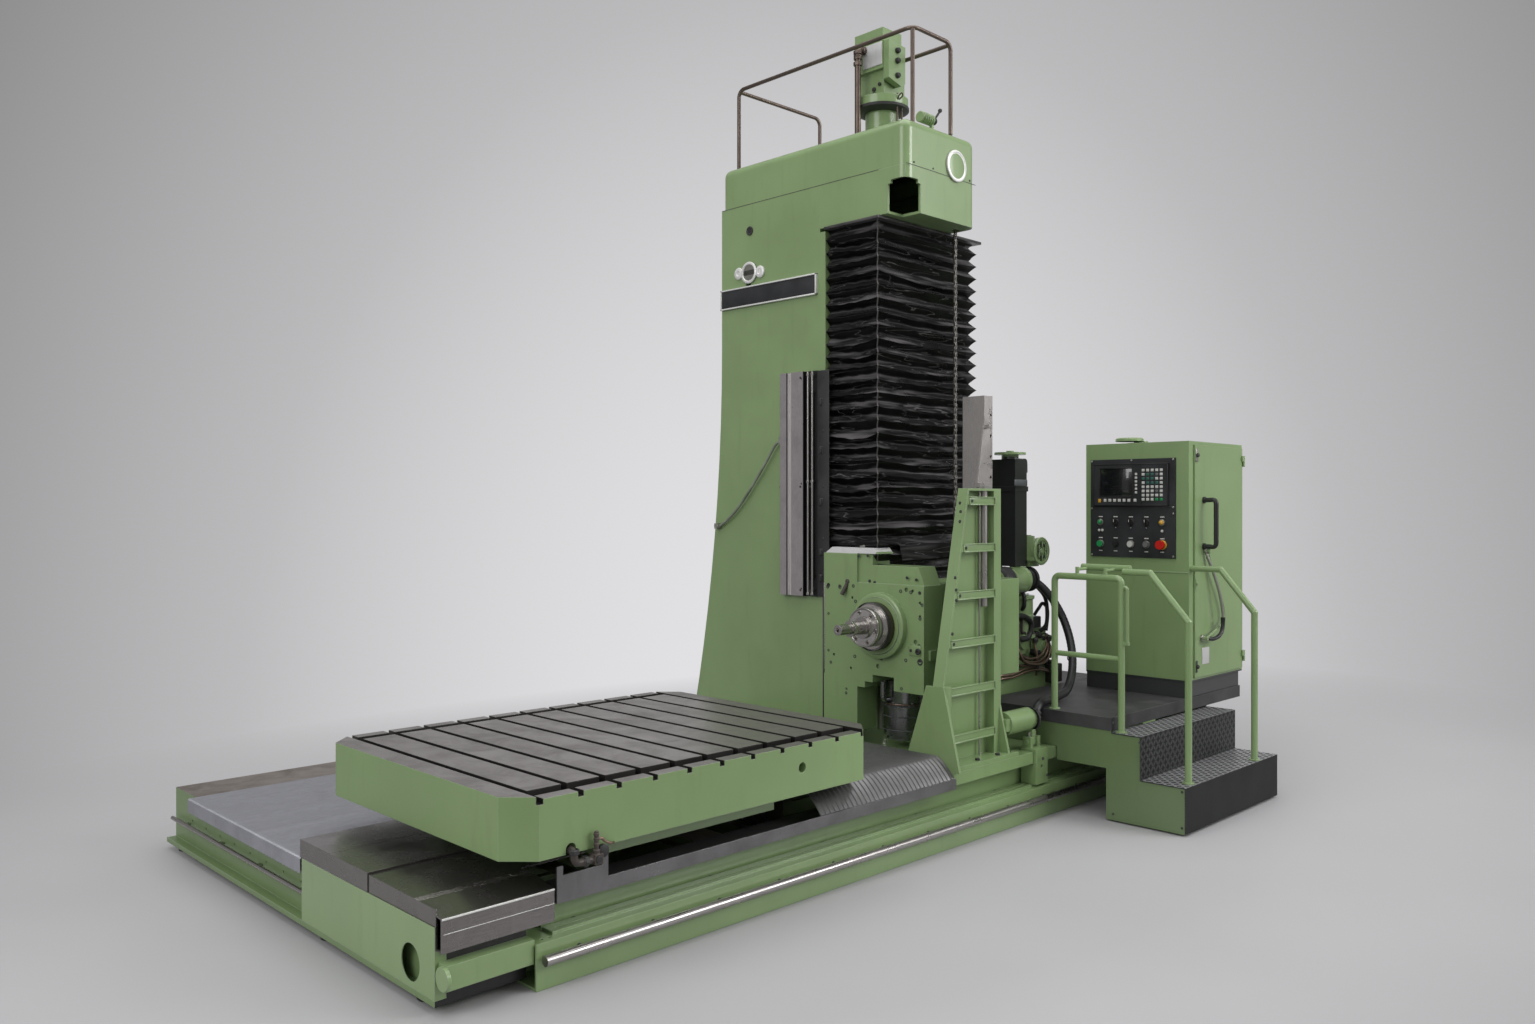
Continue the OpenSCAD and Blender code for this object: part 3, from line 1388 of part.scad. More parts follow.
// Door hinges: knuckle and pin on the cabinet, knuckle on the door
hinge_x = door_x + door_w + 6;
hinge_y = cab_y - 16;
hinge_r = 7;
hinge_h = 32;
pin_r = 4;
hinge_z = [cab_z + 60, cab_top - 130];

handle_z = cab_z + 753;
handle_h = 262;
latch_z = [cab_z + 84, cab_z + 548, cab_z + 1265];

module cabinet_door() {
  x = door_x + 108;
  y = cab_y - 82;
  x0 = door_x + 2;
  x1 = door_x + door_w;
  color(green) place() difference() {
    union() {
      block([x0, cab_y + 0.5, cab_z + 21], [x1, cab_y + cab_wall - 1, cab_top - 21]);
      block([x0, cab_y - 10, cab_z + 21], [x1, cab_y + 1, cab_top - 21]);
      for (z = hinge_z) {
        rod_z([hinge_x, hinge_y, z + hinge_h + slide_gap], hinge_r, hinge_h);
        block([hinge_x - 24, hinge_y - 4, z + hinge_h + slide_gap],
          [hinge_x, cab_y - 9, z + 2 * hinge_h + slide_gap]);
      }
    }
    for (z = hinge_z) rod_z([hinge_x, hinge_y, z], pin_r + fit, 2 * hinge_h + over);
  }
  color(dark) place() {
    bent_tube([[x, cab_y - 10, handle_z], [x, y, handle_z], [x, y, handle_z + handle_h],
      [x, cab_y - 10, handle_z + handle_h]], 12, 22);
    hose(door_cable_points(x), 7, 4, 8);
    rod_y([x + 8, cab_y - 46, handle_z - 24], 10, 37);
    rod_y([x - 30, cab_y - 50, cab_z + 240], 13, 41);
    for (z = latch_z) {
      block([x0, cab_y - 13, z - 30], [x0 + 24, cab_y - 9, z + 30]);
      rod_y([x0 + 12, cab_y - 22, z], 9, 10);
    }
  }
}

function door_cable_points(x) = [for (p = [[12, -24], [20, -60], [57, -131], [146, -260],
    [203, -365], [196, -420], [146, -455], [57, -489], [-20, -513]])
  [x + p.x, cab_y - 36, handle_z + p.y]];

// Control panel with its display unit
panel_t = 10;
panel_y = cab_y + 75;
panel_z = cab_z + 686;
unit_t = 16;
face_x = cab_x - panel_t;
row_z = [panel_z + 76, panel_z + 202];
control_y = [for (i = [0 : 4]) panel_y + 459 - i * control_pitch];

module control_panel() {
  color(dark) place() difference() {
    union() {
      block([face_x, panel_y, panel_z], [cab_x, panel_y + panel_w, panel_z + panel_h]);
      block([face_x - unit_t, panel_y + 35, panel_z + 297], [face_x, panel_y + 498, panel_z + 538]);
      rod_x([face_x - 10, control_y[0], row_z[1]], 17, 10);
      rod_x([face_x - 10, control_y[4], row_z[1]], 17, 10);
    }
    block([face_x - unit_t - over, panel_y + 254, panel_z + 355],
      [face_x - unit_t + 6, panel_y + 454, panel_z + 511]);
    for (y = control_y) rod_x([face_x - 2 * unit_t, y, row_z[0]], 9, 60);
    for (i = [1 : 3]) rod_x([face_x - 2 * unit_t, control_y[i], row_z[1]], 9, 60);
  }
}

// A push button: a stem in the panel's hole and a head
module button(y, z, r, t) {
  rod_x([face_x - t - press, y, z], r, t);
  rod_x([face_x - press - over, y, z], 8, press + panel_t);
}

module emergency_stop() {
  color(red) place() {
    rod_x([face_x - 14 - press, control_y[4], row_z[0]], 15, 14);
    rod_x([face_x - 32 - press, control_y[4], row_z[0]], 25, 18);
    rod_x([face_x - press - over, control_y[4], row_z[0]], 8, press + panel_t);
  }
}

module start_button() {
  color([0.15, 0.6, 0.3]) place() button(control_y[0], row_z[0], 18, 12);
}

module stop_button() {
  color(dark) place() button(control_y[1], row_z[0], 16, 12);
}

module feed_button() {
  color(white) place() button(control_y[2], row_z[0], 17, 12);
}

module reset_button() {
  color([0.5, 0.5, 0.5]) place() button(control_y[3], row_z[0], 16, 12);
}

module knob(y) {
  rod_x([face_x - 14, y, row_z[1]], 18, 13);
  block([face_x - 26, y - 5, row_z[1] - 18], [face_x - 13, y + 5, row_z[1] + 18]);
  rod_x([face_x - 2, y, row_z[1]], 8, panel_t);
}

module mode_knob() {
  color(dark) place() knob(control_y[1]);
}

module speed_knob() {
  color(dark) place() knob(control_y[2]);
}

module feed_knob() {
  color(dark) place() knob(control_y[3]);
}

// Headstock: a stepped front housing and the body behind
block_in = 14;

module head_front() {
  y = head_y;
  z = spindle_z;
  polygon([[y, z - 328], [y + 190, z - 328], [y + 190, z - 260], [y + 331, z - 260], [y + 331, z - 299],
    [y + 385, z - 299], [y + 385, z - 331], [y + 436, z - 331], [y + 436, z - 563], [head_y1, z - 563],
    [head_y1, z + 362], [y + 437, z + 362], [y + 437, z + 214], [y, z + 214]]);
}

// Upper part, set back a little, with a sloped end
module head_upper() {
  y = head_y;
  z = spindle_z;
  polygon([[y, z + 196], [y + 47, z + 306], [y + 342, z + 306], [y + 342, z + 364], [y + 438, z + 364],
    [y + 438, z + 196]]);
}

hole_y = [24, 70, 110, 24, 24, 52, 40, 24, 296, 470, 560, 640, 480, 600];
hole_z = [178, 186, 190, 128, 60, -68, -120, -160, -212, 130, 188, 188, -240, -180];

module headstock() {
  x = head_x;
  y = head_y;
  color(green) place() difference() {
    union() {
      along_x(x, head_front_l) head_front();
      along_x(x + block_in, head_front_l - block_in) difference() {
        head_upper();
        translate([y + 342, spindle_z + 196]) square([100, 14]);
      }
      block([x + 60, y + 330, spindle_z + 190], [x + head_front_l, y + 450, spindle_z + 300]);
      block([x + head_front_l - over, y + 18, spindle_z - 300],
        [x + head_front_l + head_body_l, way_face, head_z1]);
      for (side = [column_x + 2, column_x1 - way_w + 4])
        block([side, way_face - 30, spindle_z - 380],
          [side + way_w - 12, way_face, head_z1]);
      rod_x([x - 30, spindle_y, spindle_z], ring_r, 31);
      rod_x([x - 44, spindle_y, spindle_z], sleeve_r + 22, 20);
      rod_x([x + head_front_l + head_body_l - over, spindle_y + 60, spindle_z], 130, 40);
      block([x + 40, post_y + post_d + 1.5, spindle_z - 160], [x + 100, y + 2, spindle_z - 110]);
      rod_z([chain_x, chain_y, head_z1 - over], 20, chain_end - head_z1 - chain_t / 2);
    }
    rod_x([x - 60, spindle_y, spindle_z], sleeve_r + fit, 60 + sleeve_in + loose_gap);
    rod_x([x, spindle_y, spindle_z], bar_spindle_r + loose_gap, head_front_l + head_body_l - 60);
    rod_z([z_screw_x, z_screw_y, spindle_z - 420], screw_r + 0.5, 900);
    for (i = [0 : len(hole_y) - 1])
      rod_x([x - over, y + hole_y[i], spindle_z + hole_z[i]], i % 3 == 2 ? 12 : 8, 16);
    for (i = [0 : 7]) rod_x([x - 31, spindle_y + (ring_r - 12) * cos(45 * i + 22),
      spindle_z + (ring_r - 12) * sin(45 * i + 22)], 5, 12);
  }
  color(white) place() along_x(x + 3, head_front_l - 20) polygon([[y + 300, spindle_z + 364],
    [y + 328, spindle_z + 364 + cover_rise], [head_y1 - 58, spindle_z + 364 + cover_rise],
    [head_y1 - 8, spindle_z + 361], [y + 437, spindle_z + 361], [y + 437, spindle_z + 364]]);
}

cover_rise = 30;

// Spindle sleeve with nose plate, and the boring spindle inside
nose_l = 62;
sleeve_out = 82;
sleeve_in = head_front_l + 180;

module spindle() {
  x = head_x;
  color(steel) place() difference() {
    union() {
      rod_x([x - sleeve_out, spindle_y, spindle_z], sleeve_r, sleeve_in + sleeve_out);
      rod_x([x - sleeve_out - nose_l, spindle_y, spindle_z], nose_r, nose_l + over);
      rod_x([x - sleeve_out - 8, spindle_y, spindle_z], sleeve_r - 8, 9);
    }
    rod_x([x - 400, spindle_y, spindle_z], bar_spindle_r + fit, 1200);
    for (i = [0 : 5]) rod_x([x - sleeve_out - nose_l - over, spindle_y + 78 * cos(60 * i + 10),
      spindle_z + 78 * sin(60 * i + 10)], 9, 20);
  }
}

bar_out = 92;

module boring_spindle() {
  x = head_x - sleeve_out - nose_l;
  color(steel) place() {
    rod_x([x - 14, spindle_y, spindle_z], bar_spindle_r, head_front_l + 600);
    rod_x([x - bar_out, spindle_y, spindle_z], 34, bar_out - 14 + over);
    rod_x([x - bar_out - 14, spindle_y, spindle_z], 40, 15);
    difference() {
      rod_x([x - bar_out - 100, spindle_y, spindle_z], arbour_r, 87);
      rod_x([x - bar_out - 101, spindle_y, spindle_z], 10, 24);
    }
  }
}

// Vertical spindle motor under the headstock
sm_x = head_x + 214;
sm_y = head_y + 285;

module spindle_motor() {
  color(dark) place() {
    rod_z([sm_x, sm_y, carriage_top + 43], motor_r - 16, 24);
    rod_z([sm_x, sm_y, carriage_top + 66], motor_r, 144);
    rod_z([sm_x, sm_y, carriage_top + 210], motor_r + 6, 8);
    rod_z([sm_x, sm_y, carriage_top + 217], motor_r - 8, spindle_z - 300 - carriage_top - 217);
    for (i = [0 : 5]) rotate_about([sm_x, sm_y, 0], 60 * i)
      rod_z([sm_x + motor_r - 16, sm_y, carriage_top + 217], 14, 26);
    bent_tube([[sm_x - 60, sm_y + 30, carriage_top + 250], [sm_x - 150, sm_y + 30, carriage_top + 250],
      [sm_x - 150, sm_y + 30, spindle_z - 300]], 14, 24);
  }
}

// Bellows over the column's ways: three pleated sides
bellows_z0 = head_z1 + slide_gap;
bellows_z1 = cap_bottom - slide_gap;
fold_step = (bellows_z1 - bellows_z0) / fold_n;

// Zigzag outline between two heights, on one or both sides
function zigzag(a, inward) = concat(
  [for (i = [0 : fold_n - 1], k = [0, 1]) [a + inward * fold_d * (1 - k),
    bellows_z0 + fold_step * (i + k * 0.5)]], [[a + inward * fold_d, bellows_z1]]);

function reversed(p) = [for (i = [len(p) - 1 : -1 : 0]) p[i]];

bellows_wall = 6;

module bellows_solid(inset) {
  intersection() {
    along_x(column_x - fold_d, column_w + 2 * fold_d) polygon(concat(
      zigzag(column_y - bellows_d + inset, 1), [[column_y - cway_t - 4, bellows_z1],
      [column_y - cway_t - 4, bellows_z0]]));
    along_y(column_y - bellows_d - 10, bellows_d) polygon(concat(
      zigzag(column_x + inset, 1), reversed(zigzag(column_x1 - inset, -1))));
  }
}

module head_bellows() {
  color(dark) place() difference() {
    bellows_solid(0);
    block([column_x - fold_d - over, head_y + 290, bellows_z0 - over],
      [head_x + head_front_l + 4, column_y, spindle_z + 364 + cover_rise + loose_gap]);
    block([column_x + fold_d + bellows_wall, column_y - bellows_d + fold_d + bellows_wall,
        bellows_z0 - over],
      [column_x1 - fold_d - bellows_wall, column_y, bellows_z1 + over]);
  }
}

table_bed();
bed_side_pan();
steel_bars();
levelling_feet();
column_bed();
cover_strip();
front_beam();
feed_screws();
front_cover();
rear_cover();
column_cover();
back_cover();
saddle();
saddle_skin();
table();
coolant_fittings();
carriage();
column();
cap_base();
cap_cover();
blank_plates();
top_handrail();
feed_motor();
motor_conduit();
z_screw();
front_sheave();
rear_sheave();
lift_chain();
counterweight_chain();
counterweight();
scale_guard();
scale_conduit();
tower();
steel_post();
clamp_cylinder();
gear_case();
oil_tank();
pump_motor();
unit_pipes();
loop_hose();
platform();
platform_deck();
stair_plates();
handrails();
cabinet();
cabinet_door();
control_panel();
emergency_stop();
start_button();
stop_button();
feed_button();
reset_button();
mode_knob();
speed_knob();
feed_knob();
headstock();
spindle();
boring_spindle();
spindle_motor();
head_bellows();
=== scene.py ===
"""Dresses the travelling column boring machine: materials, fine pieces, floor, light and camera."""

import json
import math
import random

import bmesh
import bpy
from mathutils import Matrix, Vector


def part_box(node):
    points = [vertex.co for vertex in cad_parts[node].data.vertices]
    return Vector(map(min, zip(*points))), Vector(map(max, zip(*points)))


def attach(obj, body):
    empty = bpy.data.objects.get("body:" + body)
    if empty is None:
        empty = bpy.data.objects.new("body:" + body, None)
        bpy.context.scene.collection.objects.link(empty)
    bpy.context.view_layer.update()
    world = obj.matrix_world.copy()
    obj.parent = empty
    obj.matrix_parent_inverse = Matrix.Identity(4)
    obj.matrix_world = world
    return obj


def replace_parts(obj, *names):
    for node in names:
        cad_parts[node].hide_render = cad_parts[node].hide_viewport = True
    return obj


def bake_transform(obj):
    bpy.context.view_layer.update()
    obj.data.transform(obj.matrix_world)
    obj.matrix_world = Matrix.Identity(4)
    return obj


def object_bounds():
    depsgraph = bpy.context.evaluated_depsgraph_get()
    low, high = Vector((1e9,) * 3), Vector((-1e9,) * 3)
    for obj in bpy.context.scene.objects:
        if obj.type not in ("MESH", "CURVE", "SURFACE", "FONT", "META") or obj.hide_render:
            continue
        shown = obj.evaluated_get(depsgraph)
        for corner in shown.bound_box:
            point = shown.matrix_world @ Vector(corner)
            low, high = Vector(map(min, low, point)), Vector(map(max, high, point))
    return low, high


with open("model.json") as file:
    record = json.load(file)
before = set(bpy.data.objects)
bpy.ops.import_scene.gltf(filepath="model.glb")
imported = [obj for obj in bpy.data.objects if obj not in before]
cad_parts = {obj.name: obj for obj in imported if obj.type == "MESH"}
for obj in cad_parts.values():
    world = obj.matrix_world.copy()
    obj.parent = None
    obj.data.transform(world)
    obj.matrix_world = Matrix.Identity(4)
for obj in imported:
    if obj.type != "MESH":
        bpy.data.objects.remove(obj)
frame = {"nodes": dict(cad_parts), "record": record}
cad_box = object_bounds()
rng = random.Random(7)

# Photograph
PHOTO_W = 1535
PHOTO_FOCAL_PX = 1157.4
PHOTO_HORIZON_PX = 7
CAMERA_AT = Vector((-4.594, -4.185, 1.6))
CAMERA_AZIMUTH = math.radians(45.43)

# The backdrop's lightest place, turned from the camera's axis, and its grey at a few distances from there
BACKDROP_TURN = math.radians(-1.5)
BACKDROP_DROP = -0.13
BACKDROP_STOPS = ((0.82, 0.375), (0.9, 0.495), (0.965, 0.67))
AMBIENT = 0.56

# Places are written in part.scad's millimetres; this point of them is the row frame's origin
ORIGIN = Vector((2800.0, 1630.0, 0.0))
MM = 0.001
LEFT, RIGHT, FRONT, UP, DOWN = (-1, 0, 0), (1, 0, 0), (0, -1, 0), (0, 0, 1), (0, 0, -1)

# Faces and axes that several pieces share
COLUMN_X = 2806.0
HEAD_X = 2786.0
SPINDLE_Y, SPINDLE_Z = 1261, 983
TOWER_Y = 783.0
CAP_TOP_Z = 3570.0
HANDLE_X = 4542.0
CABINET_DOOR_Y = 370
PANEL_X = 4371.0


def at(x, y, z):
    return (Vector((x, y, z)) - ORIGIN) * MM


def box_of(node):
    """Lowest and highest corner of a CAD node in part.scad's millimetres."""
    low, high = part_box(node)
    return Vector(low) / MM + ORIGIN, Vector(high) / MM + ORIGIN


def circle(count, r, start=0.0):
    """Pairs evenly spaced on a circle, from a start in degrees."""
    turns = [math.radians(start) + 2 * math.pi * i / count for i in range(count)]
    return [(r * math.cos(t), r * math.sin(t)) for t in turns]


def add(name, data, place=(0, 0, 0)):
    made = bpy.data.objects.new(name, data)
    made.location = place
    bpy.context.collection.objects.link(made)
    return made


# Shader helpers


class Tree:
    """Adds nodes to a node tree with short calls."""

    def __init__(self, tree):
        self.tree = tree

    def node(self, kind, inputs=(), **values):
        """A node with its settings, and its inputs as pairs of a name or index and a value or socket."""
        made = self.tree.nodes.new(kind)
        for key, value in values.items():
            setattr(made, key, value)
        for key, value in dict(inputs).items():
            self.put(made.inputs[key], value)
        return made

    def put(self, socket, value):
        if isinstance(value, bpy.types.NodeSocket):
            self.tree.links.new(value, socket)
        elif socket.type == "RGBA":
            socket.default_value = (*value, 1.0)
        else:
            socket.default_value = value

    def math(self, operation, a, b=0.0, clamp=False):
        return self.node("ShaderNodeMath", {0: a, 1: b}, operation=operation, use_clamp=clamp).outputs["Value"]

    def vector(self, operation, a, b=(0.0, 0.0, 0.0)):
        made = self.node("ShaderNodeVectorMath", {0: a, 1: b}, operation=operation)
        return made.outputs["Value" if operation in ("DOT_PRODUCT", "LENGTH") else "Vector"]

    def end(self, output, factor, a, b):
        """Mixes two shaders into the output node."""
        mix = self.node("ShaderNodeMixShader", {0: factor, 1: a, 2: b})
        self.put(self.tree.nodes[output].inputs["Surface"], mix.outputs["Shader"])


class Graph(Tree):
    """Builds one material's nodes."""

    def __init__(self, name):
        self.material = bpy.data.materials.new(name)
        self.material.use_nodes = True
        super().__init__(self.material.node_tree)
        self.shader = self.tree.nodes["Principled BSDF"]
        self.place = self.node("ShaderNodeTexCoord").outputs["Object"]
        self.geometry = self.node("ShaderNodeNewGeometry").outputs
        self.normal = self.geometry["Normal"]

    def set(self, **values):
        for key, value in values.items():
            self.put(self.shader.inputs[key.replace("_", " ")], value)

    def times(self, a, b, clamp=False):
        return self.math("MULTIPLY", a, b, clamp)

    def plus(self, a, b):
        return self.math("ADD", a, b)

    def most(self, a, b, clamp=False):
        return self.math("MAXIMUM", a, b, clamp)

    def away(self, a, b):
        """Distance of a value from another."""
        return self.math("ABSOLUTE", self.math("SUBTRACT", a, b))

    def stretched(self, scale):
        return self.node("ShaderNodeMapping", {"Vector": self.place, "Scale": scale}).outputs["Vector"]

    def noise(self, size, detail=4.0, roughness=0.55, place=None, distortion=0.0):
        inputs = {"Scale": 1.0 / size, "Detail": detail, "Roughness": roughness, "Distortion": distortion}
        return self.node("ShaderNodeTexNoise", {"Vector": place or self.place, **inputs}).outputs["Fac"]

    def ramp(self, value, low, high, a=0.0, b=1.0):
        inputs = {"Value": value, "From Min": low, "From Max": high, "To Min": a, "To Max": b}
        return self.node("ShaderNodeMapRange", inputs).outputs["Result"]

    def spread(self, noise, a=0.0, b=1.0):
        """From a to b over most of a noise's range."""
        return self.ramp(noise, 0.3, 0.7, a, b)

    def mix(self, factor, a, b):
        return self.node("ShaderNodeMix", {0: factor, 6: a, 7: b}, data_type="RGBA").outputs[2]

    def blend(self, factor, a, b):
        """Mix of two numbers."""
        return self.node("ShaderNodeMix", {0: factor, 2: a, 3: b}, data_type="FLOAT").outputs[0]

    def axis(self, name, source=None):
        """X, Y or Z of the place, or of another vector."""
        return self.node("ShaderNodeSeparateXYZ", {"Vector": source or self.place}).outputs[name]

    def facing(self, name, low, high, a=0.0, b=1.0):
        """Mask of the surface that faces along X, Y or Z."""
        return self.ramp(self.axis(name, self.normal), low, high, a, b)

    def above(self, name, value, a=0.0, b=1.0):
        """1 where the place's X, Y or Z is over a value in metres."""
        soft = 0.0005
        return self.ramp(self.axis(name), value - soft, value + soft, a, b)

    def below(self, name, value):
        return self.above(name, value, 1.0, 0.0)

    def edges(self, width):
        """Mask of outer edges, and the rounded normal, from the bevel shader."""
        rounded = self.node("ShaderNodeBevel", {"Radius": width}, samples=4).outputs["Normal"]
        return self.ramp(self.vector("DOT_PRODUCT", rounded, self.normal), 0.995, 0.86), rounded

    def bump(self, height, strength, distance, normal=None):
        inputs = {"Height": height, "Strength": strength, "Distance": distance}
        if normal is not None:
            inputs["Normal"] = normal
        return self.node("ShaderNodeBump", inputs).outputs["Normal"]

    def finish(self, color, roughness, normal=None, metallic=None):
        inputs = {"Base Color": color, "Roughness": roughness, "Normal": normal, "Metallic": metallic}
        for name, value in inputs.items():
            if value is not None:
                self.put(self.shader.inputs[name], value)
        return self.material


def shade(color, factor):
    return tuple(min(1.0, c * factor) for c in color[:3])


# Materials

GREEN = (0.2, 0.296, 0.128)
# Pale colour of the green paint's edges: partly worn paint, partly a painted highlight on rounded edges
PALE_EDGE = (0.44, 0.52, 0.4)
STEEL_TOP = (0.3, 0.283, 0.27)
GREY_STEEL = (0.5, 0.48, 0.46)

# Grain of rolled or ground steel: the axis with the small share is the one along the grain
ALONG_X, ALONG_Y, ALONG_Z = (0.08, 1.0, 1.0), (1.0, 0.05, 1.0), (1.0, 1.0, 0.05)
NO_GRAIN = (1.0, 1.0, 1.0)


def paint_layers(g, color, edge, edge_lightening, grime):
    """Colour and rounded normal of old machine paint: cloudy tone, specks of dirt, and pale edges that are partly
    worn paint and partly a painted highlight.
    """
    cloud = g.noise(0.6, 3.0)
    speck = g.noise(0.02, 6.0, 0.7)
    streak = g.noise(0.05, 5.0, 0.6, g.stretched((1.0, 1.0, 0.16)))
    mask, rounded = g.edges(0.004)
    tone = g.mix(g.ramp(cloud, 0.35, 0.65), shade(color, 0.93), shade(color, 1.06))
    tone = g.mix(g.times(g.ramp(streak, 0.56, 0.75), grime * 0.6), tone, shade(color, 0.6))
    tone = g.mix(g.times(g.ramp(speck, 0.64, 0.8), grime), tone, shade(color, 0.42))
    # Edges lightened: partly worn paint, partly a painted highlight along rounded edges
    lightened_edges = g.times(mask, g.ramp(speck, 0.3, 0.6, edge_lightening * 0.5, edge_lightening), True)
    return g.mix(lightened_edges, tone, edge), rounded, cloud


def coated(g, tone, rough, rounded, coat, coat_rough):
    """Ends a painted material with its orange peel and clear coat."""
    g.set(Coat_Weight=coat, Coat_Roughness=coat_rough)
    return g.finish(tone, rough, g.bump(g.noise(0.006, 2.0), 0.05, 0.002, rounded))


def enamel(name, color=GREEN, edge=PALE_EDGE, rough=0.34, edge_lightening=0.5, grime=0.35):
    g = Graph(name)
    tone, rounded, cloud = paint_layers(g, color, edge, edge_lightening, grime)
    return coated(g, tone, g.spread(cloud, rough - 0.05, rough + 0.08), rounded, 0.55, 0.16)


def two_paints(name, lower, upper, level, rough=0.4):
    """Old paint in one colour below a level in metres and another above it."""
    g = Graph(name)
    low, rounded, cloud = paint_layers(g, lower, shade(lower, 2.2), 0.5, 0.4)
    high, _, _ = paint_layers(g, upper, PALE_EDGE, 0.5, 0.4)
    tone = g.mix(g.above("Z", level), low, high)
    return coated(g, tone, g.spread(cloud, rough - 0.06, rough + 0.08), rounded, 0.4, 0.2)


def head_paint(name, white_from, white_behind):
    """The headstock's green, with the sheet cover on its top in white."""
    g = Graph(name)
    green, rounded, cloud = paint_layers(g, GREEN, PALE_EDGE, 0.6, 0.45)
    white, _, _ = paint_layers(g, (0.62, 0.62, 0.62), (0.75, 0.75, 0.75), 0.4, 0.6)
    cover = g.times(g.above("Z", white_from), g.above("Y", white_behind), True)
    return coated(g, g.mix(cover, green, white), g.spread(cloud, 0.3, 0.44), rounded, 0.25, 0.22)


def dark_paint(name, color, rough=0.42, edge_lightening=0.35, edge=(0.3, 0.3, 0.29)):
    """Black or grey enamel with scuffed edges and dust."""
    g = Graph(name)
    cloud = g.noise(0.2, 4.0)
    speck = g.noise(0.012, 6.0, 0.7)
    mask, rounded = g.edges(0.004)
    tone = g.mix(g.ramp(cloud, 0.35, 0.7), shade(color, 0.75), shade(color, 1.5))
    lightened_edges = g.times(mask, g.ramp(speck, 0.35, 0.6, edge_lightening * 0.4, edge_lightening), True)
    tone = g.mix(lightened_edges, tone, edge)
    g.set(Specular_IOR_Level=0.3)
    return g.finish(tone, g.spread(cloud, rough - 0.08, rough + 0.12), g.bump(speck, 0.06, 0.001, rounded))


def steel_layers(g, color, grain, dirt):
    brushed = g.noise(0.0016, 2.0, 0.6, g.stretched(grain))
    scratch = g.noise(0.004, 3.0, 0.7, g.stretched(tuple(0.3 + 0.7 * s for s in grain)))
    stain = g.noise(0.17, 5.0, 0.62, distortion=0.6)
    speck = g.noise(0.015, 6.0, 0.7)
    tone = g.mix(g.spread(brushed), shade(color, 0.85), shade(color, 1.12))
    tone = g.mix(g.times(g.ramp(stain, 0.42, 0.68), dirt), tone, shade(color, 0.5))
    tone = g.mix(g.times(g.ramp(speck, 0.6, 0.75), dirt), tone, shade(color, 0.38))
    tone = g.mix(g.times(g.ramp(scratch, 0.66, 0.7), 0.5), tone, shade(color, 1.5))
    return tone, brushed, stain


def steel(name, color, rough=0.3, grain=NO_GRAIN, dirt=0.4, bump=0.08, metal=1.0):
    """Ground or rolled steel: fine directional grain, oily stains and scratches."""
    g = Graph(name)
    tone, brushed, stain = steel_layers(g, color, grain, dirt)
    mask, rounded = g.edges(0.002)
    tone = g.mix(g.times(mask, 0.5), tone, shade(color, 1.6))
    normal = g.bump(brushed, bump, 0.0006, rounded)
    return g.finish(tone, g.spread(stain, rough - 0.05, rough + 0.15), normal, metal)


def spindle_steel(name, nose_x):
    """Dark oiled sleeve with a bright turned nose in front of nose_x."""
    g = Graph(name)
    dark, brushed, stain = steel_layers(g, (0.12, 0.095, 0.08), ALONG_X, 0.4)
    bright, _, _ = steel_layers(g, (0.6, 0.58, 0.56), ALONG_X, 0.12)
    _, rounded = g.edges(0.002)
    nose = g.below("X", nose_x)
    rough = g.blend(nose, g.spread(stain, 0.24, 0.4), 0.2)
    return g.finish(g.mix(nose, dark, bright), rough, g.bump(brushed, 0.05, 0.0004, rounded), 0.9)


def guard_steel(name, strip_y, groove_shade_y, recess_y):
    """Long steel guard: stained plates, a bright strip beside a groove painted black as painted shade, and the
    part on the right painted black as painted shade in the recess.
    """
    g = Graph(name)
    tone, brushed, stain = steel_layers(g, (0.56, 0.52, 0.53), ALONG_Z, 0.45)
    _, rounded = g.edges(0.002)
    place = g.axis("Y")

    def band(low, high, soft):
        return g.times(g.ramp(place, low, low + soft), g.ramp(place, high, high - soft), True)

    # The groove and the recess on the right are painted near-black, not metal: painted shade
    recess_shade = g.ramp(place, recess_y, recess_y - 0.002)
    tone = g.mix(band(*strip_y, 0.002), tone, (0.85, 0.83, 0.82))
    tone = g.mix(g.most(band(*groove_shade_y, 0.001), recess_shade), tone, (0.008, 0.008, 0.008))
    normal = g.bump(brushed, 0.08, 0.0006, rounded)
    return g.finish(tone, g.spread(stain, 0.26, 0.42), normal, g.blend(recess_shade, 0.9, 0.0))


def ground_casting(g, color, bare, cloud, brushed, rough, relief, rounded):
    """Ends a painted casting that is bare ground iron where the mask says so."""
    normal = g.bump(brushed, relief, 0.0005, rounded)
    return g.finish(color, g.blend(bare, g.spread(cloud, 0.3, 0.42), rough), normal, g.times(bare, 0.8))


def bed_paint(name, wall_y):
    """The bed's green, darker than the machine green as painted shade, near-black on the front wall's faces ahead
    of wall_y, with bare ground ways on top.
    """
    g = Graph(name)
    # The machine green darkened for the whole bed: painted shade
    green, rounded, cloud = paint_layers(g, shade(GREEN, 0.75), PALE_EDGE, 0.5, 0.4)
    tone, brushed, stain = steel_layers(g, (0.26, 0.22, 0.19), ALONG_Y, 0.6)
    # Faces toward the front, ahead of wall_y, painted near-black
    wall = g.times(g.facing("Y", -0.6, -0.4, 1.0, 0.0), g.below("Y", wall_y), True)
    bare = g.times(g.facing("Z", 0.8, 0.9), g.above("Z", 0.2), True)
    color = g.mix(bare, g.mix(wall, green, (0.01, 0.01, 0.01)), tone)
    return ground_casting(g, color, bare, cloud, brushed, g.spread(stain, 0.3, 0.5), 0.04, rounded)


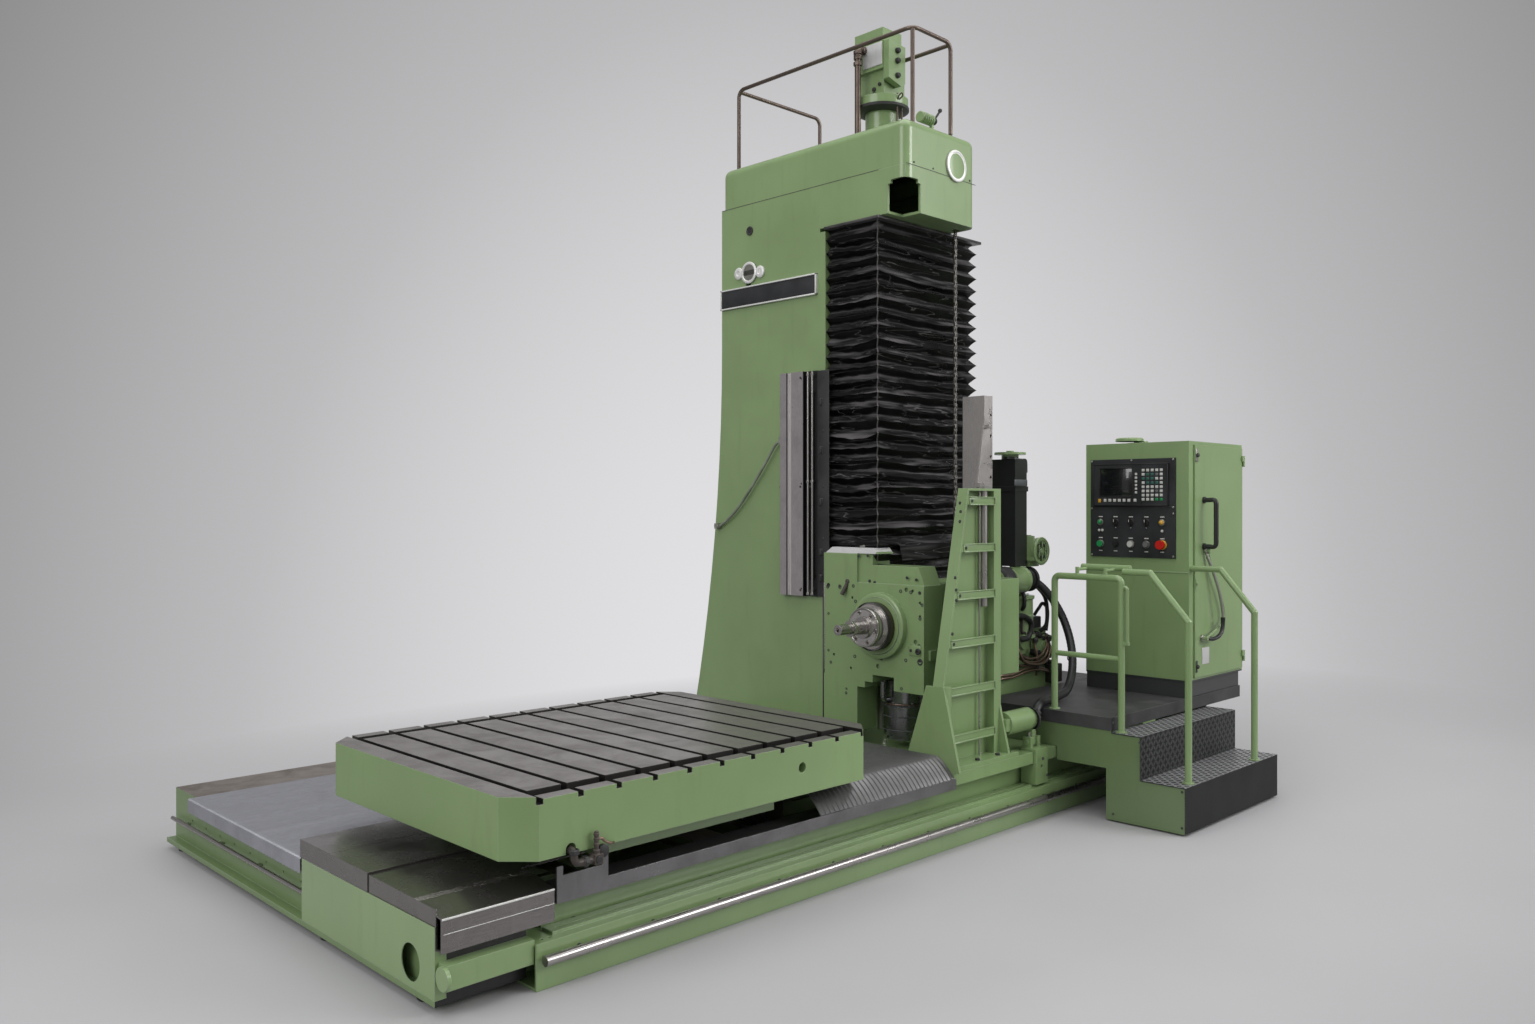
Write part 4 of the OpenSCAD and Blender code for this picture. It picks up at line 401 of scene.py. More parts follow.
def table_iron(name):
    """Green casting whose slotted top and upper rim are bare ground iron, with the slots' walls and floors
    painted near-black as painted shade.
    """
    g = Graph(name)
    low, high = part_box("table")
    centre, half = (low + high) / 2, (high - low) / 2
    slot_pitch, corner_cut = 0.16, 0.095
    paint, rounded, cloud = paint_layers(g, GREEN, PALE_EDGE, 0.7, 0.3)
    tone, brushed, stain = steel_layers(g, STEEL_TOP, (1.0, 0.04, 1.0), 0.55)
    number = g.times(g.math("FLOOR", g.ramp(g.axis("X"), 0.0, slot_pitch)), 7.3)
    strip = g.node("ShaderNodeTexNoise", {"Scale": 1.0, "W": number}, noise_dimensions="1D")
    tone = g.mix(g.spread(strip.outputs["Fac"], 0.0, 0.45), tone, shade(STEEL_TOP, 0.62))
    dx = g.math("SUBTRACT", g.away(g.axis("X"), centre.x), half.x)
    dy = g.math("SUBTRACT", g.away(g.axis("Y"), centre.y), half.y)
    corner = g.times(g.plus(g.plus(dx, dy), corner_cut), 0.7071)
    inside = g.ramp(g.most(g.most(dx, dy), corner), -0.0035, -0.0025, 1.0, 0.0)
    bare = g.times(g.above("Z", high.z - 0.05), g.most(inside, g.facing("Z", 0.5, 0.6)), True)
    # The T-slots' walls and floors painted near-black: painted shade in the slots
    wall = g.times(g.ramp(g.math("ABSOLUTE", g.axis("Z", g.normal)), 0.5, 0.4), inside)
    slot_shade = g.most(wall, g.times(inside, g.below("Z", high.z - 0.012)), True)
    tone = g.mix(g.times(slot_shade, 0.85), tone, (0.02, 0.019, 0.018))
    color = g.mix(bare, paint, tone)
    return ground_casting(g, color, bare, cloud, brushed, g.spread(stain, 0.32, 0.5), 0.05, rounded)


def rubber(name, color, rough=0.5, bump=0.12):
    """Rubber, coated cloth or hose: fine speckle and dull sheen."""
    g = Graph(name)
    speck = g.noise(0.004, 4.0)
    cloud = g.noise(0.08, 3.0)
    tone = g.mix(g.spread(cloud), shade(color, 0.7), shade(color, 1.6))
    return g.finish(tone, g.spread(cloud, rough - 0.1, rough + 0.1), g.bump(speck, bump, 0.0008))


def plastic(name, color, rough=0.3):
    g = Graph(name)
    mask, rounded = g.edges(0.0015)
    tone = g.mix(g.times(mask, 0.4), color, shade(color, 1.7))
    return g.finish(tone, rough, g.bump(g.noise(0.002, 3.0), 0.04, 0.0004, rounded))


def screen_glass(name):
    """A dark display behind smooth glass."""
    g = Graph(name)
    g.set(Coat_Weight=1.0, Coat_Roughness=0.04)
    return g.finish(g.mix(g.noise(0.12, 2.0), (0.004, 0.0045, 0.005), (0.012, 0.013, 0.014)), 0.18)


def bellows_cloth(name):
    """Coated black cloth: upper faces painted lighter as painted light from above, painted highlights on crease
    bands, crease lines and ridges, painted shade in the fold hollows, and a seam line down the corner at the
    lowest X and Y.
    """
    g = Graph(name)
    low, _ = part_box("head_bellows")
    cloud = g.noise(0.16, 3.0)
    crease = g.noise(0.09, 2.0, 0.5, g.stretched((0.2, 0.2, 2.4)), 0.5)
    # Upper faces painted lighter than lower faces: painted light from above
    tone = g.mix(g.facing("Z", -0.35, 0.75), (0.002, 0.002, 0.0022), (0.013, 0.0125, 0.013))
    # Painted highlights on the upward-facing parts of stretched crease bands, and thin painted highlight lines
    # along the creases
    lit = g.times(g.ramp(crease, 0.52, 0.68), g.facing("Z", -0.1, 0.5), True)
    tone = g.mix(lit, tone, (0.11, 0.105, 0.106))
    crease_highlight = g.ramp(g.away(crease, 0.47), 0.009, 0.003)
    tone = g.mix(g.times(crease_highlight, 0.7), tone, (0.12, 0.115, 0.116))
    # Convex ridges painted lighter as painted highlights, and hollows painted near-black as painted shade in the
    # folds
    pointed = g.geometry["Pointiness"]
    ridge_highlight = g.times(g.ramp(pointed, 0.54, 0.6), g.ramp(cloud, 0.3, 0.6, 0.35, 0.9))
    tone = g.mix(ridge_highlight, tone, (0.15, 0.145, 0.145))
    tone = g.mix(g.ramp(pointed, 0.47, 0.4), tone, (0.002, 0.002, 0.002))
    across, along = g.math("SUBTRACT", g.axis("X"), low.x), g.math("SUBTRACT", g.axis("Y"), low.y)
    tone = g.mix(g.ramp(g.away(across, along), 0.006, 0.003), tone, (0.13, 0.125, 0.12))
    height = g.plus(crease, g.times(g.noise(0.003, 3.0), 0.06))
    g.set(Specular_IOR_Level=0.14)
    return g.finish(tone, g.spread(cloud, 0.24, 0.4), g.bump(height, 0.5, 0.012))


def checker_plate(name):
    """Dark tread plate with short raised lozenges laid in turn two ways, worn bright on top."""
    g = Graph(name)
    per_metre, half_long, half_wide = 27.0, 0.46, 0.2
    upper_step_z = 0.24
    cloud = g.noise(0.15, 4.0)
    speck = g.noise(0.01, 5.0, 0.7)
    flat = g.node("ShaderNodeCombineXYZ", {"X": g.axis("X"), "Y": g.plus(g.axis("Y"), g.axis("Z"))})
    masks = []
    for turn, shift in ((45, 0.0), (-45, 0.5)):
        mapping = g.node("ShaderNodeMapping", {
            "Vector": flat.outputs["Vector"], "Rotation": (0, 0, math.radians(turn)),
            "Scale": [per_metre] * 3, "Location": (shift, shift, 0),
        })
        parts = []
        for name_of, half in (("X", half_long), ("Y", half_wide)):
            spot = g.math("FRACT", g.axis(name_of, mapping.outputs["Vector"]))
            parts.append(g.math("POWER", g.math("DIVIDE", g.away(spot, 0.5), half), 2.0))
        masks.append(g.ramp(g.plus(*parts), 1.1, 0.75))
    lozenge = g.most(*masks, True)
    facing_up = g.facing("Z", 0.4, 0.9)
    patterned = g.most(facing_up, g.above("Z", upper_step_z))
    bright = g.times(lozenge, g.ramp(speck, 0.3, 0.6, 0.45, 0.9), True)
    bright = g.times(g.times(bright, patterned), g.blend(facing_up, 0.12, 1.0))
    tone = g.mix(g.ramp(cloud, 0.35, 0.7), (0.02, 0.021, 0.022), (0.042, 0.044, 0.046))
    # Faces that don't face up painted near-black: painted shade on the sides of the treads and steps
    tone = g.mix(g.facing("Z", 0.4, 0.9, 0.75, 0.0), tone, (0.006, 0.006, 0.006))
    tone = g.mix(bright, tone, (0.5, 0.5, 0.51))
    mask, rounded = g.edges(0.003)
    tone = g.mix(g.times(mask, 0.6), tone, (0.3, 0.3, 0.3))
    g.set(Specular_IOR_Level=0.2)
    normal = g.bump(g.times(lozenge, patterned), 0.8, 0.003, rounded)
    return g.finish(tone, g.blend(bright, 0.5, 0.3), normal, g.times(bright, 0.7))


MATERIALS = {
    name: kind(name, *values)
    for name, kind, *values in (
        # The record's material slots
        ("machine_green", enamel),
        ("dark_paint", dark_paint, (0.02, 0.021, 0.022)),
        ("dark_cover", steel, (0.19, 0.186, 0.19), 0.32, ALONG_Y, 0.5, 0.08, 0.8),
        ("bright_steel", steel, GREY_STEEL, 0.28, ALONG_Z),
        ("ground_steel", steel, GREY_STEEL, 0.2, ALONG_X, 0.25),
        ("cover_steel", steel, (0.22, 0.205, 0.2), 0.2, (0.03, 1.0, 1.0), 0.16, 0.06, 0.9),
        ("pleat_steel", steel, (0.4, 0.405, 0.44), 0.36, (0.03, 1.0, 1.0), 0.3, 0.1, 0.8),
        ("pipe_metal", dark_paint, (0.05, 0.042, 0.038), 0.34, 0.6, (0.3, 0.24, 0.2)),
        ("plate_metal", steel, (0.42, 0.42, 0.38), 0.35, (1.0, 0.1, 1.0), 0.4),
        ("rail_steel", steel, (0.17, 0.135, 0.115), 0.4, (1.0, 1.0, 0.2), 0.4),
        ("dark_iron", dark_paint, (0.03, 0.03, 0.03), 0.5),
        ("chain_steel", steel, (0.2, 0.19, 0.175), 0.4, NO_GRAIN, 0.5),
        ("black_rubber", rubber, (0.012, 0.012, 0.013), 0.42),
        ("deck_rubber", dark_paint, (0.042, 0.042, 0.043), 0.5, 0.3),
        ("checker_steel", checker_plate),
        ("panel_grey", dark_paint, (0.024, 0.025, 0.027), 0.45, 0.15),
        ("stop_red", plastic, (0.5, 0.012, 0.008), 0.25),
        ("start_green", plastic, (0.02, 0.26, 0.08), 0.25),
        ("key_black", plastic, (0.012, 0.012, 0.012), 0.4),
        ("key_white", plastic, (0.55, 0.55, 0.52), 0.35),
        ("key_grey", plastic, (0.14, 0.14, 0.14), 0.35),
        ("motor_grey", dark_paint, (0.07, 0.075, 0.078), 0.4, 0.4),
        ("bellows_black", bellows_cloth),
        # Looks of single pieces; levels and limits in the row frame's metres
        ("table_iron", table_iron),
        ("head_paint", head_paint, 1.3465, -0.33),
        ("cabinet_paint", two_paints, (0.035, 0.036, 0.038), GREEN, 0.622),
        ("tank_paint", two_paints, (0.018, 0.018, 0.02), GREEN, 1.885, 0.34),
        ("bed_paint", bed_paint, -0.86),
        ("spindle_steel", spindle_steel, -0.096),
        ("guard_steel", guard_steel, (0.262, 0.29), (0.29, 0.3), 0.175),
        # The platform in the machine green darkened: painted shade
        ("low_green", enamel, shade(GREEN, 0.58), shade(PALE_EDGE, 0.8), 0.36, 0.4, 0.5),
        ("plate_edge", steel, (0.82, 0.82, 0.8), 0.4, (1.0, 0.1, 1.0), 0.25, 0.05, 0.4),
        ("motor_shell", steel, (0.3, 0.3, 0.31), 0.24, ALONG_Z, 0.35),
        ("bar_steel", steel, (0.42, 0.4, 0.39), 0.24, (0.05, 1.0, 1.0), 0.25),
        ("lamp_amber", plastic, (0.62, 0.33, 0.03), 0.2),
        ("key_teal", plastic, (0.03, 0.12, 0.09), 0.4),
        ("screen_glass", screen_glass),
        ("white_paint", enamel, (0.5, 0.5, 0.5), (0.7, 0.7, 0.7), 0.4, 0.3, 0.7),
        ("copper_pipe", steel, (0.28, 0.2, 0.16), 0.38, NO_GRAIN, 0.5),
        ("cable_grey", rubber, (0.16, 0.175, 0.14), 0.4),
    )
}

# CAD nodes whose look isn't that of their slot
DRESSED = {
    "table": "table_iron", "headstock": "head_paint", "scale_conduit": "cable_grey",
    "cabinet": "cabinet_paint", "oil_tank": "tank_paint", "table_bed": "bed_paint",
    "spindle": "spindle_steel", "spindle_motor": "motor_shell", "steel_bars": "bar_steel",
    "scale_guard": "guard_steel", "platform": "low_green",
}

for part in frame["record"]["subparts"]:
    shape_materials = frame["nodes"][part["node"]].data.materials
    shape_materials.clear()
    shape_materials.append(MATERIALS[DRESSED.get(part["node"], part["material_slot"])])


# Mesh helpers


def curve(points, steps):
    """A smooth path through given points."""
    p = [Vector(v) for v in points]
    path = []
    for i in range(len(p) - 1):
        a, b, c, d = p[max(i - 1, 0)], p[i], p[i + 1], p[min(i + 2, len(p) - 1)]
        for s in range(steps):
            t = s / steps
            bend = (2 * a - 5 * b + 4 * c - d) * t**2 + (3 * b - a - 3 * c + d) * t**3
            path.append(0.5 * (2 * b + (c - a) * t + bend))
    return path + [p[-1]]


def disc(r, low, high):
    """Profile of a plain round piece."""
    return [(0, low), (r, low), (r, high), (0, high)]


class Shape:
    """Collects plain forms, placed in part.scad's millimetres, into one mesh."""

    def __init__(self):
        self.bm = bmesh.new()

    def vert(self, x, y, z):
        return self.bm.verts.new(at(x, y, z))

    def block(self, low, high, soft=1.0):
        low, high = at(*low), at(*high)
        made = bmesh.ops.create_cube(self.bm, size=1.0)["verts"]
        middle, size = (low + high) / 2, high - low
        for v in made:
            v.co = Vector([c * s + m for c, s, m in zip(v.co, size, middle)])
        if soft:
            edges = list({e for v in made for e in v.link_edges})
            bmesh.ops.bevel(self.bm, geom=edges, offset=soft * MM, segments=2, profile=0.5, affect="EDGES")
        return self

    def border(self, axis, levels, low, high, width):
        """Four bars around a rectangle, given as pairs in the other two axes."""
        (u0, v0), (u1, v1) = low, high
        index = "XYZ".index(axis)
        for bar in (
            ((u0, v0), (u1, v0 + width)), ((u0, v1 - width), (u1, v1)),
            ((u0, v0), (u0 + width, v1)), ((u1 - width, v0), (u1, v1)),
        ):
            self.block(*((*pair[:index], level, *pair[index:]) for pair, level in zip(bar, levels)))
        return self

    def skin(self, rings, capped=False):
        """Faces between closed rings, any of which may be a single point, and over both ends if capped."""
        for a, b in zip(rings, rings[1:]):
            count = max(len(a), len(b))
            for i in range(count):
                j = (i + 1) % count
                corners = [a[i % len(a)], a[j % len(a)], b[j % len(b)], b[i % len(b)]]
                unique = list(dict.fromkeys(corners))
                if len(unique) > 2:
                    self.bm.faces.new(unique)
        for ring in (rings[0], rings[-1]) if capped else ():
            self.bm.faces.new(ring)
        return self

    def lathe(self, place, axis, profile, sides=24):
        """A turned form of (radius, height) pairs along axis from place."""
        middle = at(*place)
        turn = Vector(axis).to_track_quat("Z", "Y")
        rings = [
            [self.bm.verts.new(middle + turn @ Vector((u, v, h)) * MM) for u, v in circle(sides if r else 1, r)]
            for r, h in profile
        ]
        return self.skin(rings)

    def rod(self, a, b, r, sides=20, soft=0.0):
        axis = Vector(b) - Vector(a)
        far = axis.length
        profile = [(0, 0), (r - soft, 0), (r, soft), (r, far - soft), (r - soft, far), (0, far)]
        return self.lathe(a, axis, profile, sides)

    def screws(self, places, axis, r, h):
        """Socket screws, seated 1 mm into the surface."""
        profile = [(r, -1), (r, h * 0.8), (r * 0.85, h), (r * 0.5, h), (r * 0.5, h * 0.3), (0, h * 0.3)]
        for place in places:
            self.lathe(place, axis, profile, 12)
        return self

    def bolts(self, places, axis, r, h):
        """Hexagon heads on washers."""
        for place in places:
            self.lathe(place, axis, [(r * 1.25, -1), (r * 1.25, h * 0.2), (r * 0.95, h * 0.2)], 16)
            self.lathe(place, axis, [(r, 0), (r, h * 0.85), (r * 0.85, h), (0, h)], 6)
        return self

    def tube(self, points, r, sides=10, steps=5, rib=0.0):
        """A round tube on a smooth path, ribbed where rib is more than 0."""
        path = curve(points, steps)
        side = None
        rings = []
        for i, p in enumerate(path):
            t = (path[min(i + 1, len(path) - 1)] - path[max(i - 1, 0)]).normalized()
            side = t.orthogonal() if side is None else side - t * side.dot(t)
            side.normalize()
            up = t.cross(side)
            ring = circle(sides, r + (rib if i % 2 else 0.0))
            rings.append([self.vert(*(p + side * u + up * v)) for u, v in ring])
        return self.skin(rings, True)

    def grid(self, rows):
        """An open sheet through rows of points."""
        made = [[self.vert(*p) for p in row] for row in rows]
        for a, b in zip(made, made[1:]):
            for i in range(len(a) - 1):
                self.bm.faces.new((a[i], a[i + 1], b[i + 1], b[i]))
        return self

    def prism(self, outline, axis, low, high):
        """An outline of pairs in the other two axes, stretched along one axis from low to high."""
        index = "XYZ".index(axis)
        rings = [[self.vert(*pair[:index], level, *pair[index:]) for pair in outline] for level in (low, high)]
        return self.skin(rings, True)

    def piece(self, name, slot, body="carriage", look=None, angle=40):
        """Makes the object, in its slot's material unless look names another."""
        bmesh.ops.recalc_face_normals(self.bm, faces=self.bm.faces)
        mesh = bpy.data.meshes.new(name)
        self.bm.to_mesh(mesh)
        self.bm.free()
        mesh.materials.append(MATERIALS[look or slot])
        mesh.shade_smooth()
        mesh.set_sharp_from_angle(angle=math.radians(angle))
        made = add(name, mesh)
        if body:
            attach(made, body)
        return made


# Covers that fold or slide


def bellows():
    """Black folded cloth on three sides of the column's ways, with sagging uneven folds."""
    low, high = box_of("head_bellows")
    folds, depth = 27, 34.0
    step = (high.z - low.z) / folds
    corners = (low.x, high.y), (low.x, low.y), (high.x, low.y), (high.x, high.y)
    sides = list(zip(corners, corners[1:], (14, 30, 14)))
    profile = [0.0, 0.05, 0.18, 0.34, 0.5, 0.66, 0.82, 0.95]
    middle_x = (low.x + high.x) / 2

    def draws(a, b):
        return {(i, s): rng.uniform(a, b) for i in range(folds + 1) for s in range(3)}

    sag, skew, lean = draws(-27, 9), draws(0.32, 0.68), draws(0.0, 9.0)

    def hang(i, s, t):
        bow = math.sin(math.pi * t ** (math.log(0.5) / math.log(skew[i, s])))
        return sag[i, s] * bow, lean[i, s] * bow

    rows = []
    for i in range(folds):
        free = 0.0 if i in (0, folds - 1) else 1.0
        for u in profile + ([1.0] if i == folds - 1 else []):
            row = []
            inset = depth * (1 - abs(2 * u - 1)) ** 0.85
            for s, (a, b, count) in enumerate(sides):
                for k in range(count if s < 2 else count + 1):
                    t = k / count
                    (z0, d0), (z1, d1) = hang(i, s, t), hang(i + 1, s, t)
                    drop = (z0 * (1 - u) + z1 * u) * free
                    into = inset + (d0 * (1 - u) + d1 * u) * free
                    x, y = a[0] + (b[0] - a[0]) * t, a[1] + (b[1] - a[1]) * t
                    side_into = inset if s == 1 else into
                    x = max(x, low.x + side_into) if x < middle_x else min(x, high.x - side_into)
                    y = max(y, low.y + (into if s == 1 else inset))
                    wave = 2.5 * math.sin(t * 23 + i * 1.7 + s) * free * math.sin(math.pi * t)
                    row.append((x, y, low.z + step * (i + u) + drop + wave))
            rows.append(row)
    made = Shape().grid(rows).piece("bellows", "bellows_black", None, angle=24)
    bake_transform(made)
    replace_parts(made, "head_bellows")

    edge = Shape().block((low.x - 22, low.y - 24, high.z - 16), (high.x + 12, high.y - 4, high.z - 1), 2)
    edge.piece("bellows_top_frame", "bellows_black")
    flap = Shape().grid([
        [(2968 + 26 * v, low.y - 8 - 3 * v, 1402 - 96 * v),
         (3240, low.y - 10 - 5 * v, 1394 - 84 * v),
         (3560, low.y - 8, 1388 - 66 * v)]
        for v in (0.0, 0.15, 0.4, 0.7, 0.9, 1.0)
    ])
    flap.piece("bellows_flap", "bellows_black", "head")


def pleated_cover():
    """Blue-grey pleated cover behind the saddle, as one tunnel of shallow folds."""
    low, high = box_of("rear_cover")
    folds = 44
    rows = []
    for i in range(folds * 4 + 1):
        u = i / 4 % 1
        inset = 7.0 * (1 - abs(2 * u - 1))
        y = low.y + (high.y - low.y) * i / (folds * 4)
        wob = [rng.uniform(-0.8, 0.8) for _ in range(5)]
        x0, x1, z1 = low.x + 0.5 + inset, high.x - 0.5 - inset, high.z - inset * 0.55
        row = [(x0, y, low.z), (x0, y, low.z + 24), (x0, y, z1 - 6), (x0 + 2, y, z1 - 1.5), (x0 + 8, y, z1)]
        for k in range(1, 6):
            hollow = 1.2 * math.sin(k * 1.3 + i * 0.05)
            row.append((x0 + 8 + (x1 - x0 - 16) * k / 6, y, z1 + wob[k % 5] - hollow))
        row += [(x1 - 8, y, z1), (x1 - 2, y, z1 - 1.5), (x1, y, z1 - 6), (x1, y, low.z)]
        rows.append(row)
    made = Shape().grid(rows).piece("pleated_cover", "pleat_steel", None, angle=12)
    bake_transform(made)
    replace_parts(made, "rear_cover")


def ribbed_cover(node, name):
    """Dark corrugated cover over the column bed, sloping down to the front strip."""
    low, high = box_of(node)
    lip, slope, top, back = low.y, low.y + 108, 402.0, high.y
    edge_z = 306.0
    ribs = round((high.x - low.x) / 29)
    outline = [(lip, edge_z - 12), (lip, edge_z)]
    for t in (0.15, 0.3, 0.45, 0.6, 0.75, 0.9, 1.0):
        outline.append((lip + (slope - lip) * t, edge_z + (top - edge_z) * (1 - (1 - t) ** 1.5)))
    outline += [(slope + (back - 90 - slope) * t, top) for t in (0.05, 0.2, 0.4, 0.6, 0.8, 1.0)]
    outline += [(back - 45, top - 40), (back, edge_z - 8)]
    rows = []
    for i in range(ribs * 4 + 1):
        u = i / 4 % 1
        sink = 7.0 * (1 - abs(2 * u - 1)) if i % 4 else 0.0
        x = low.x + (high.x - low.x) * i / (ribs * 4)
        rows.append([(x, y + sink, z) if n < 2 else (x, y, z - sink) for n, (y, z) in enumerate(outline)])
    made = Shape().grid(rows).piece(name, "dark_cover", None, angle=15)
    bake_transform(made)
    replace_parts(made, node)


def chain_path(z0, sheave_z, r, front_y, rear_y):
    """Places of a chain's pins: up, over two sheaves and down."""
    pitch = 28.0
    path = []
    length_up = sheave_z - z0
    arc = math.pi * r / 2
    total = length_up + arc + (rear_y - front_y) + arc
    for i in range(int(total / pitch) + 1):
        s = i * pitch
        if s < length_up:
            path.append((front_y - r, z0 + s))
        elif s < length_up + arc:
            a = (s - length_up) / r
            path.append((front_y - r * math.cos(a), sheave_z + r * math.sin(a)))
        elif s < total - arc:
            path.append((front_y + s - length_up - arc, sheave_z + r))
        else:
            a = (s - (total - arc)) / r
            path.append((rear_y + r * math.sin(a), sheave_z + r * math.cos(a)))
    return path


def chain():
    """Leaf chain from the headstock over the cap's sheaves."""
    low, high = box_of("lift_chain")
    x = (low.x + high.x) / 2
    front_y = 1225
    path = chain_path(low.z + 10, 3370.0, 84.0, 1309.0, 2019.5)
    shape = Shape()
    for i, ((y0, z0), (y1, z1)) in enumerate(zip(path, path[1:])):
        along = Vector((y1 - y0, z1 - z0)).normalized()
        across = Vector((-along.y, along.x))
        middle = Vector(((y0 + y1) / 2, (z0 + z1) / 2))
        outline = []
        for u, v in circle(12, 1):
            length = u * 8 + math.copysign(14, u) * (abs(u) > 0.1)
            outline.append(tuple(middle + along * length + across * v * (7.5 if abs(u) > 0.6 else 5.6)))
        for offset in ((-9.5, 4.0) if i % 2 else (-5.0, -0.5)):
            shape.prism(outline, "X", x + offset, x + offset + 3.6)
        if i % 2 == 0:
            shape.prism(outline, "X", x + 8.0, x + 11.5)
        shape.rod((x - 12, y0, z0), (x + 12, y0, z0), 4.0, 8)
    shape.rod((x, front_y, 1198), (x, front_y, low.z + 14), 11, 12, 2)
    made = shape.piece("chain", "chain_steel", None)
    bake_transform(made)
    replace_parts(made, "lift_chain")


# Column, cap and motor


def column_details():
    (y0, z0), (y1, z1) = plate = (1726, 2742), (2493, 2858)
    emblem_y, emblem_z = 2257.0, 2935
    frames = Shape().border("X", (2789, 2806.5), *plate, 8)
    profile = [(62, 0), (62, 4), (58, 7), (50, 7), (46, 3), (46, 1)]
    frames.lathe((2797, emblem_y, emblem_z), LEFT, profile, 48)
    for side in (-1, 1):
        place = (2800, emblem_y + side * 88, emblem_z + 6 * side)
        frames.lathe(place, LEFT, [(34, -5), (34, 4), (30, 7), (16, 7), (12, 3), (0, 3)], 32)
    frames.block((2796, emblem_y - 90, 2918), (2806, emblem_y + 90, 2952), 3)
    frames.piece("plate_frames", "plate_metal", look="plate_edge")
    field = Shape().block((2794, y0 + 7, z0 + 7), (2806.5, y1 - 7, z1 - 7), 0.5)
    field.piece("plate_field", "panel_grey")

    profile = [(84, -8), (84, 3), (80, 6), (74, 6), (71, 2), (66, 2)]
    badge = Shape().lathe((3223, 1110, 3395), FRONT, profile, 48)
    badge.piece("cap_badge_ring", "plate_metal", look="plate_edge")
    profile = [(72, -2), (72, 1), (56, 3.5), (20, 4), (0, 4)]
    Shape().lathe((3223, 1111, 3395), FRONT, profile, 48).piece("cap_badge_disc", "machine_green")

    seams = Shape().block((2805.2, 1300, 3329), (2806.5, 2496, 3332), 0)
    seams.block((2808, 1117.2, 3329), (3404, 1118.5, 3332), 0).piece("cap_seam", "dark_iron")

    plugs = Shape().lathe((COLUMN_X - 1, 2258, 3176), LEFT, [(26, -2), (26, 4), (20, 6), (17, 2), (0, 2)])
    plugs.screws([(COLUMN_X, y, z) for y, z in ((2010, 1700), (2004, 1326), (2004, 2200))], LEFT, 6, 4)
    plugs.screws([(2870 + 160 * i, 1118, 3345) for i in range(4)], FRONT, 5, 3)
    plugs.piece("column_plugs", "dark_iron")

    guard_x = COLUMN_X - 36
    guard = Shape().screws([(guard_x, y, z) for z in (1135, 1700, 2295) for y in (1822, 1748)], LEFT, 6, 3)
    guard.screws([(COLUMN_X - 14, 1672, z) for z in (1130, 1420, 1700, 2000, 2290)], LEFT, 7, 4)
    guard.piece("guard_screws", "dark_iron")
    rods = Shape()
    for y in (1730, 1762):
        rods.rod((guard_x - 3, y, 1112), (guard_x - 3, y, 2322), 6, 12)
        for z in (1112, 1720, 2300):
            rods.block((guard_x - 9, y - 9, z), (guard_x + 2, y + 9, z + 14), 2)
    rods.piece("guard_rods", "bright_steel")
    # Near-black sheets stand in for shade: a back plate behind the guard's rods, painted shade in the recess, and
    # a strip on the column face beside the head, painted shadow in the slot between guard and head; the small
    # blocks are brackets
    back = Shape().block((COLUMN_X - 16, 1630, 1106), (COLUMN_X - 13, 1713, 2326), 0.5)
    for z in (1190, 1330, 1600, 1880, 2140):
        back.block((COLUMN_X - 26, 1676, z), (COLUMN_X - 14, 1696, z + 34), 2)
    back.block((COLUMN_X - 2, 1671.5, 430), (COLUMN_X + 0.5, 1688, 1106), 0.5)
    back.piece("guard_back", "dark_iron")


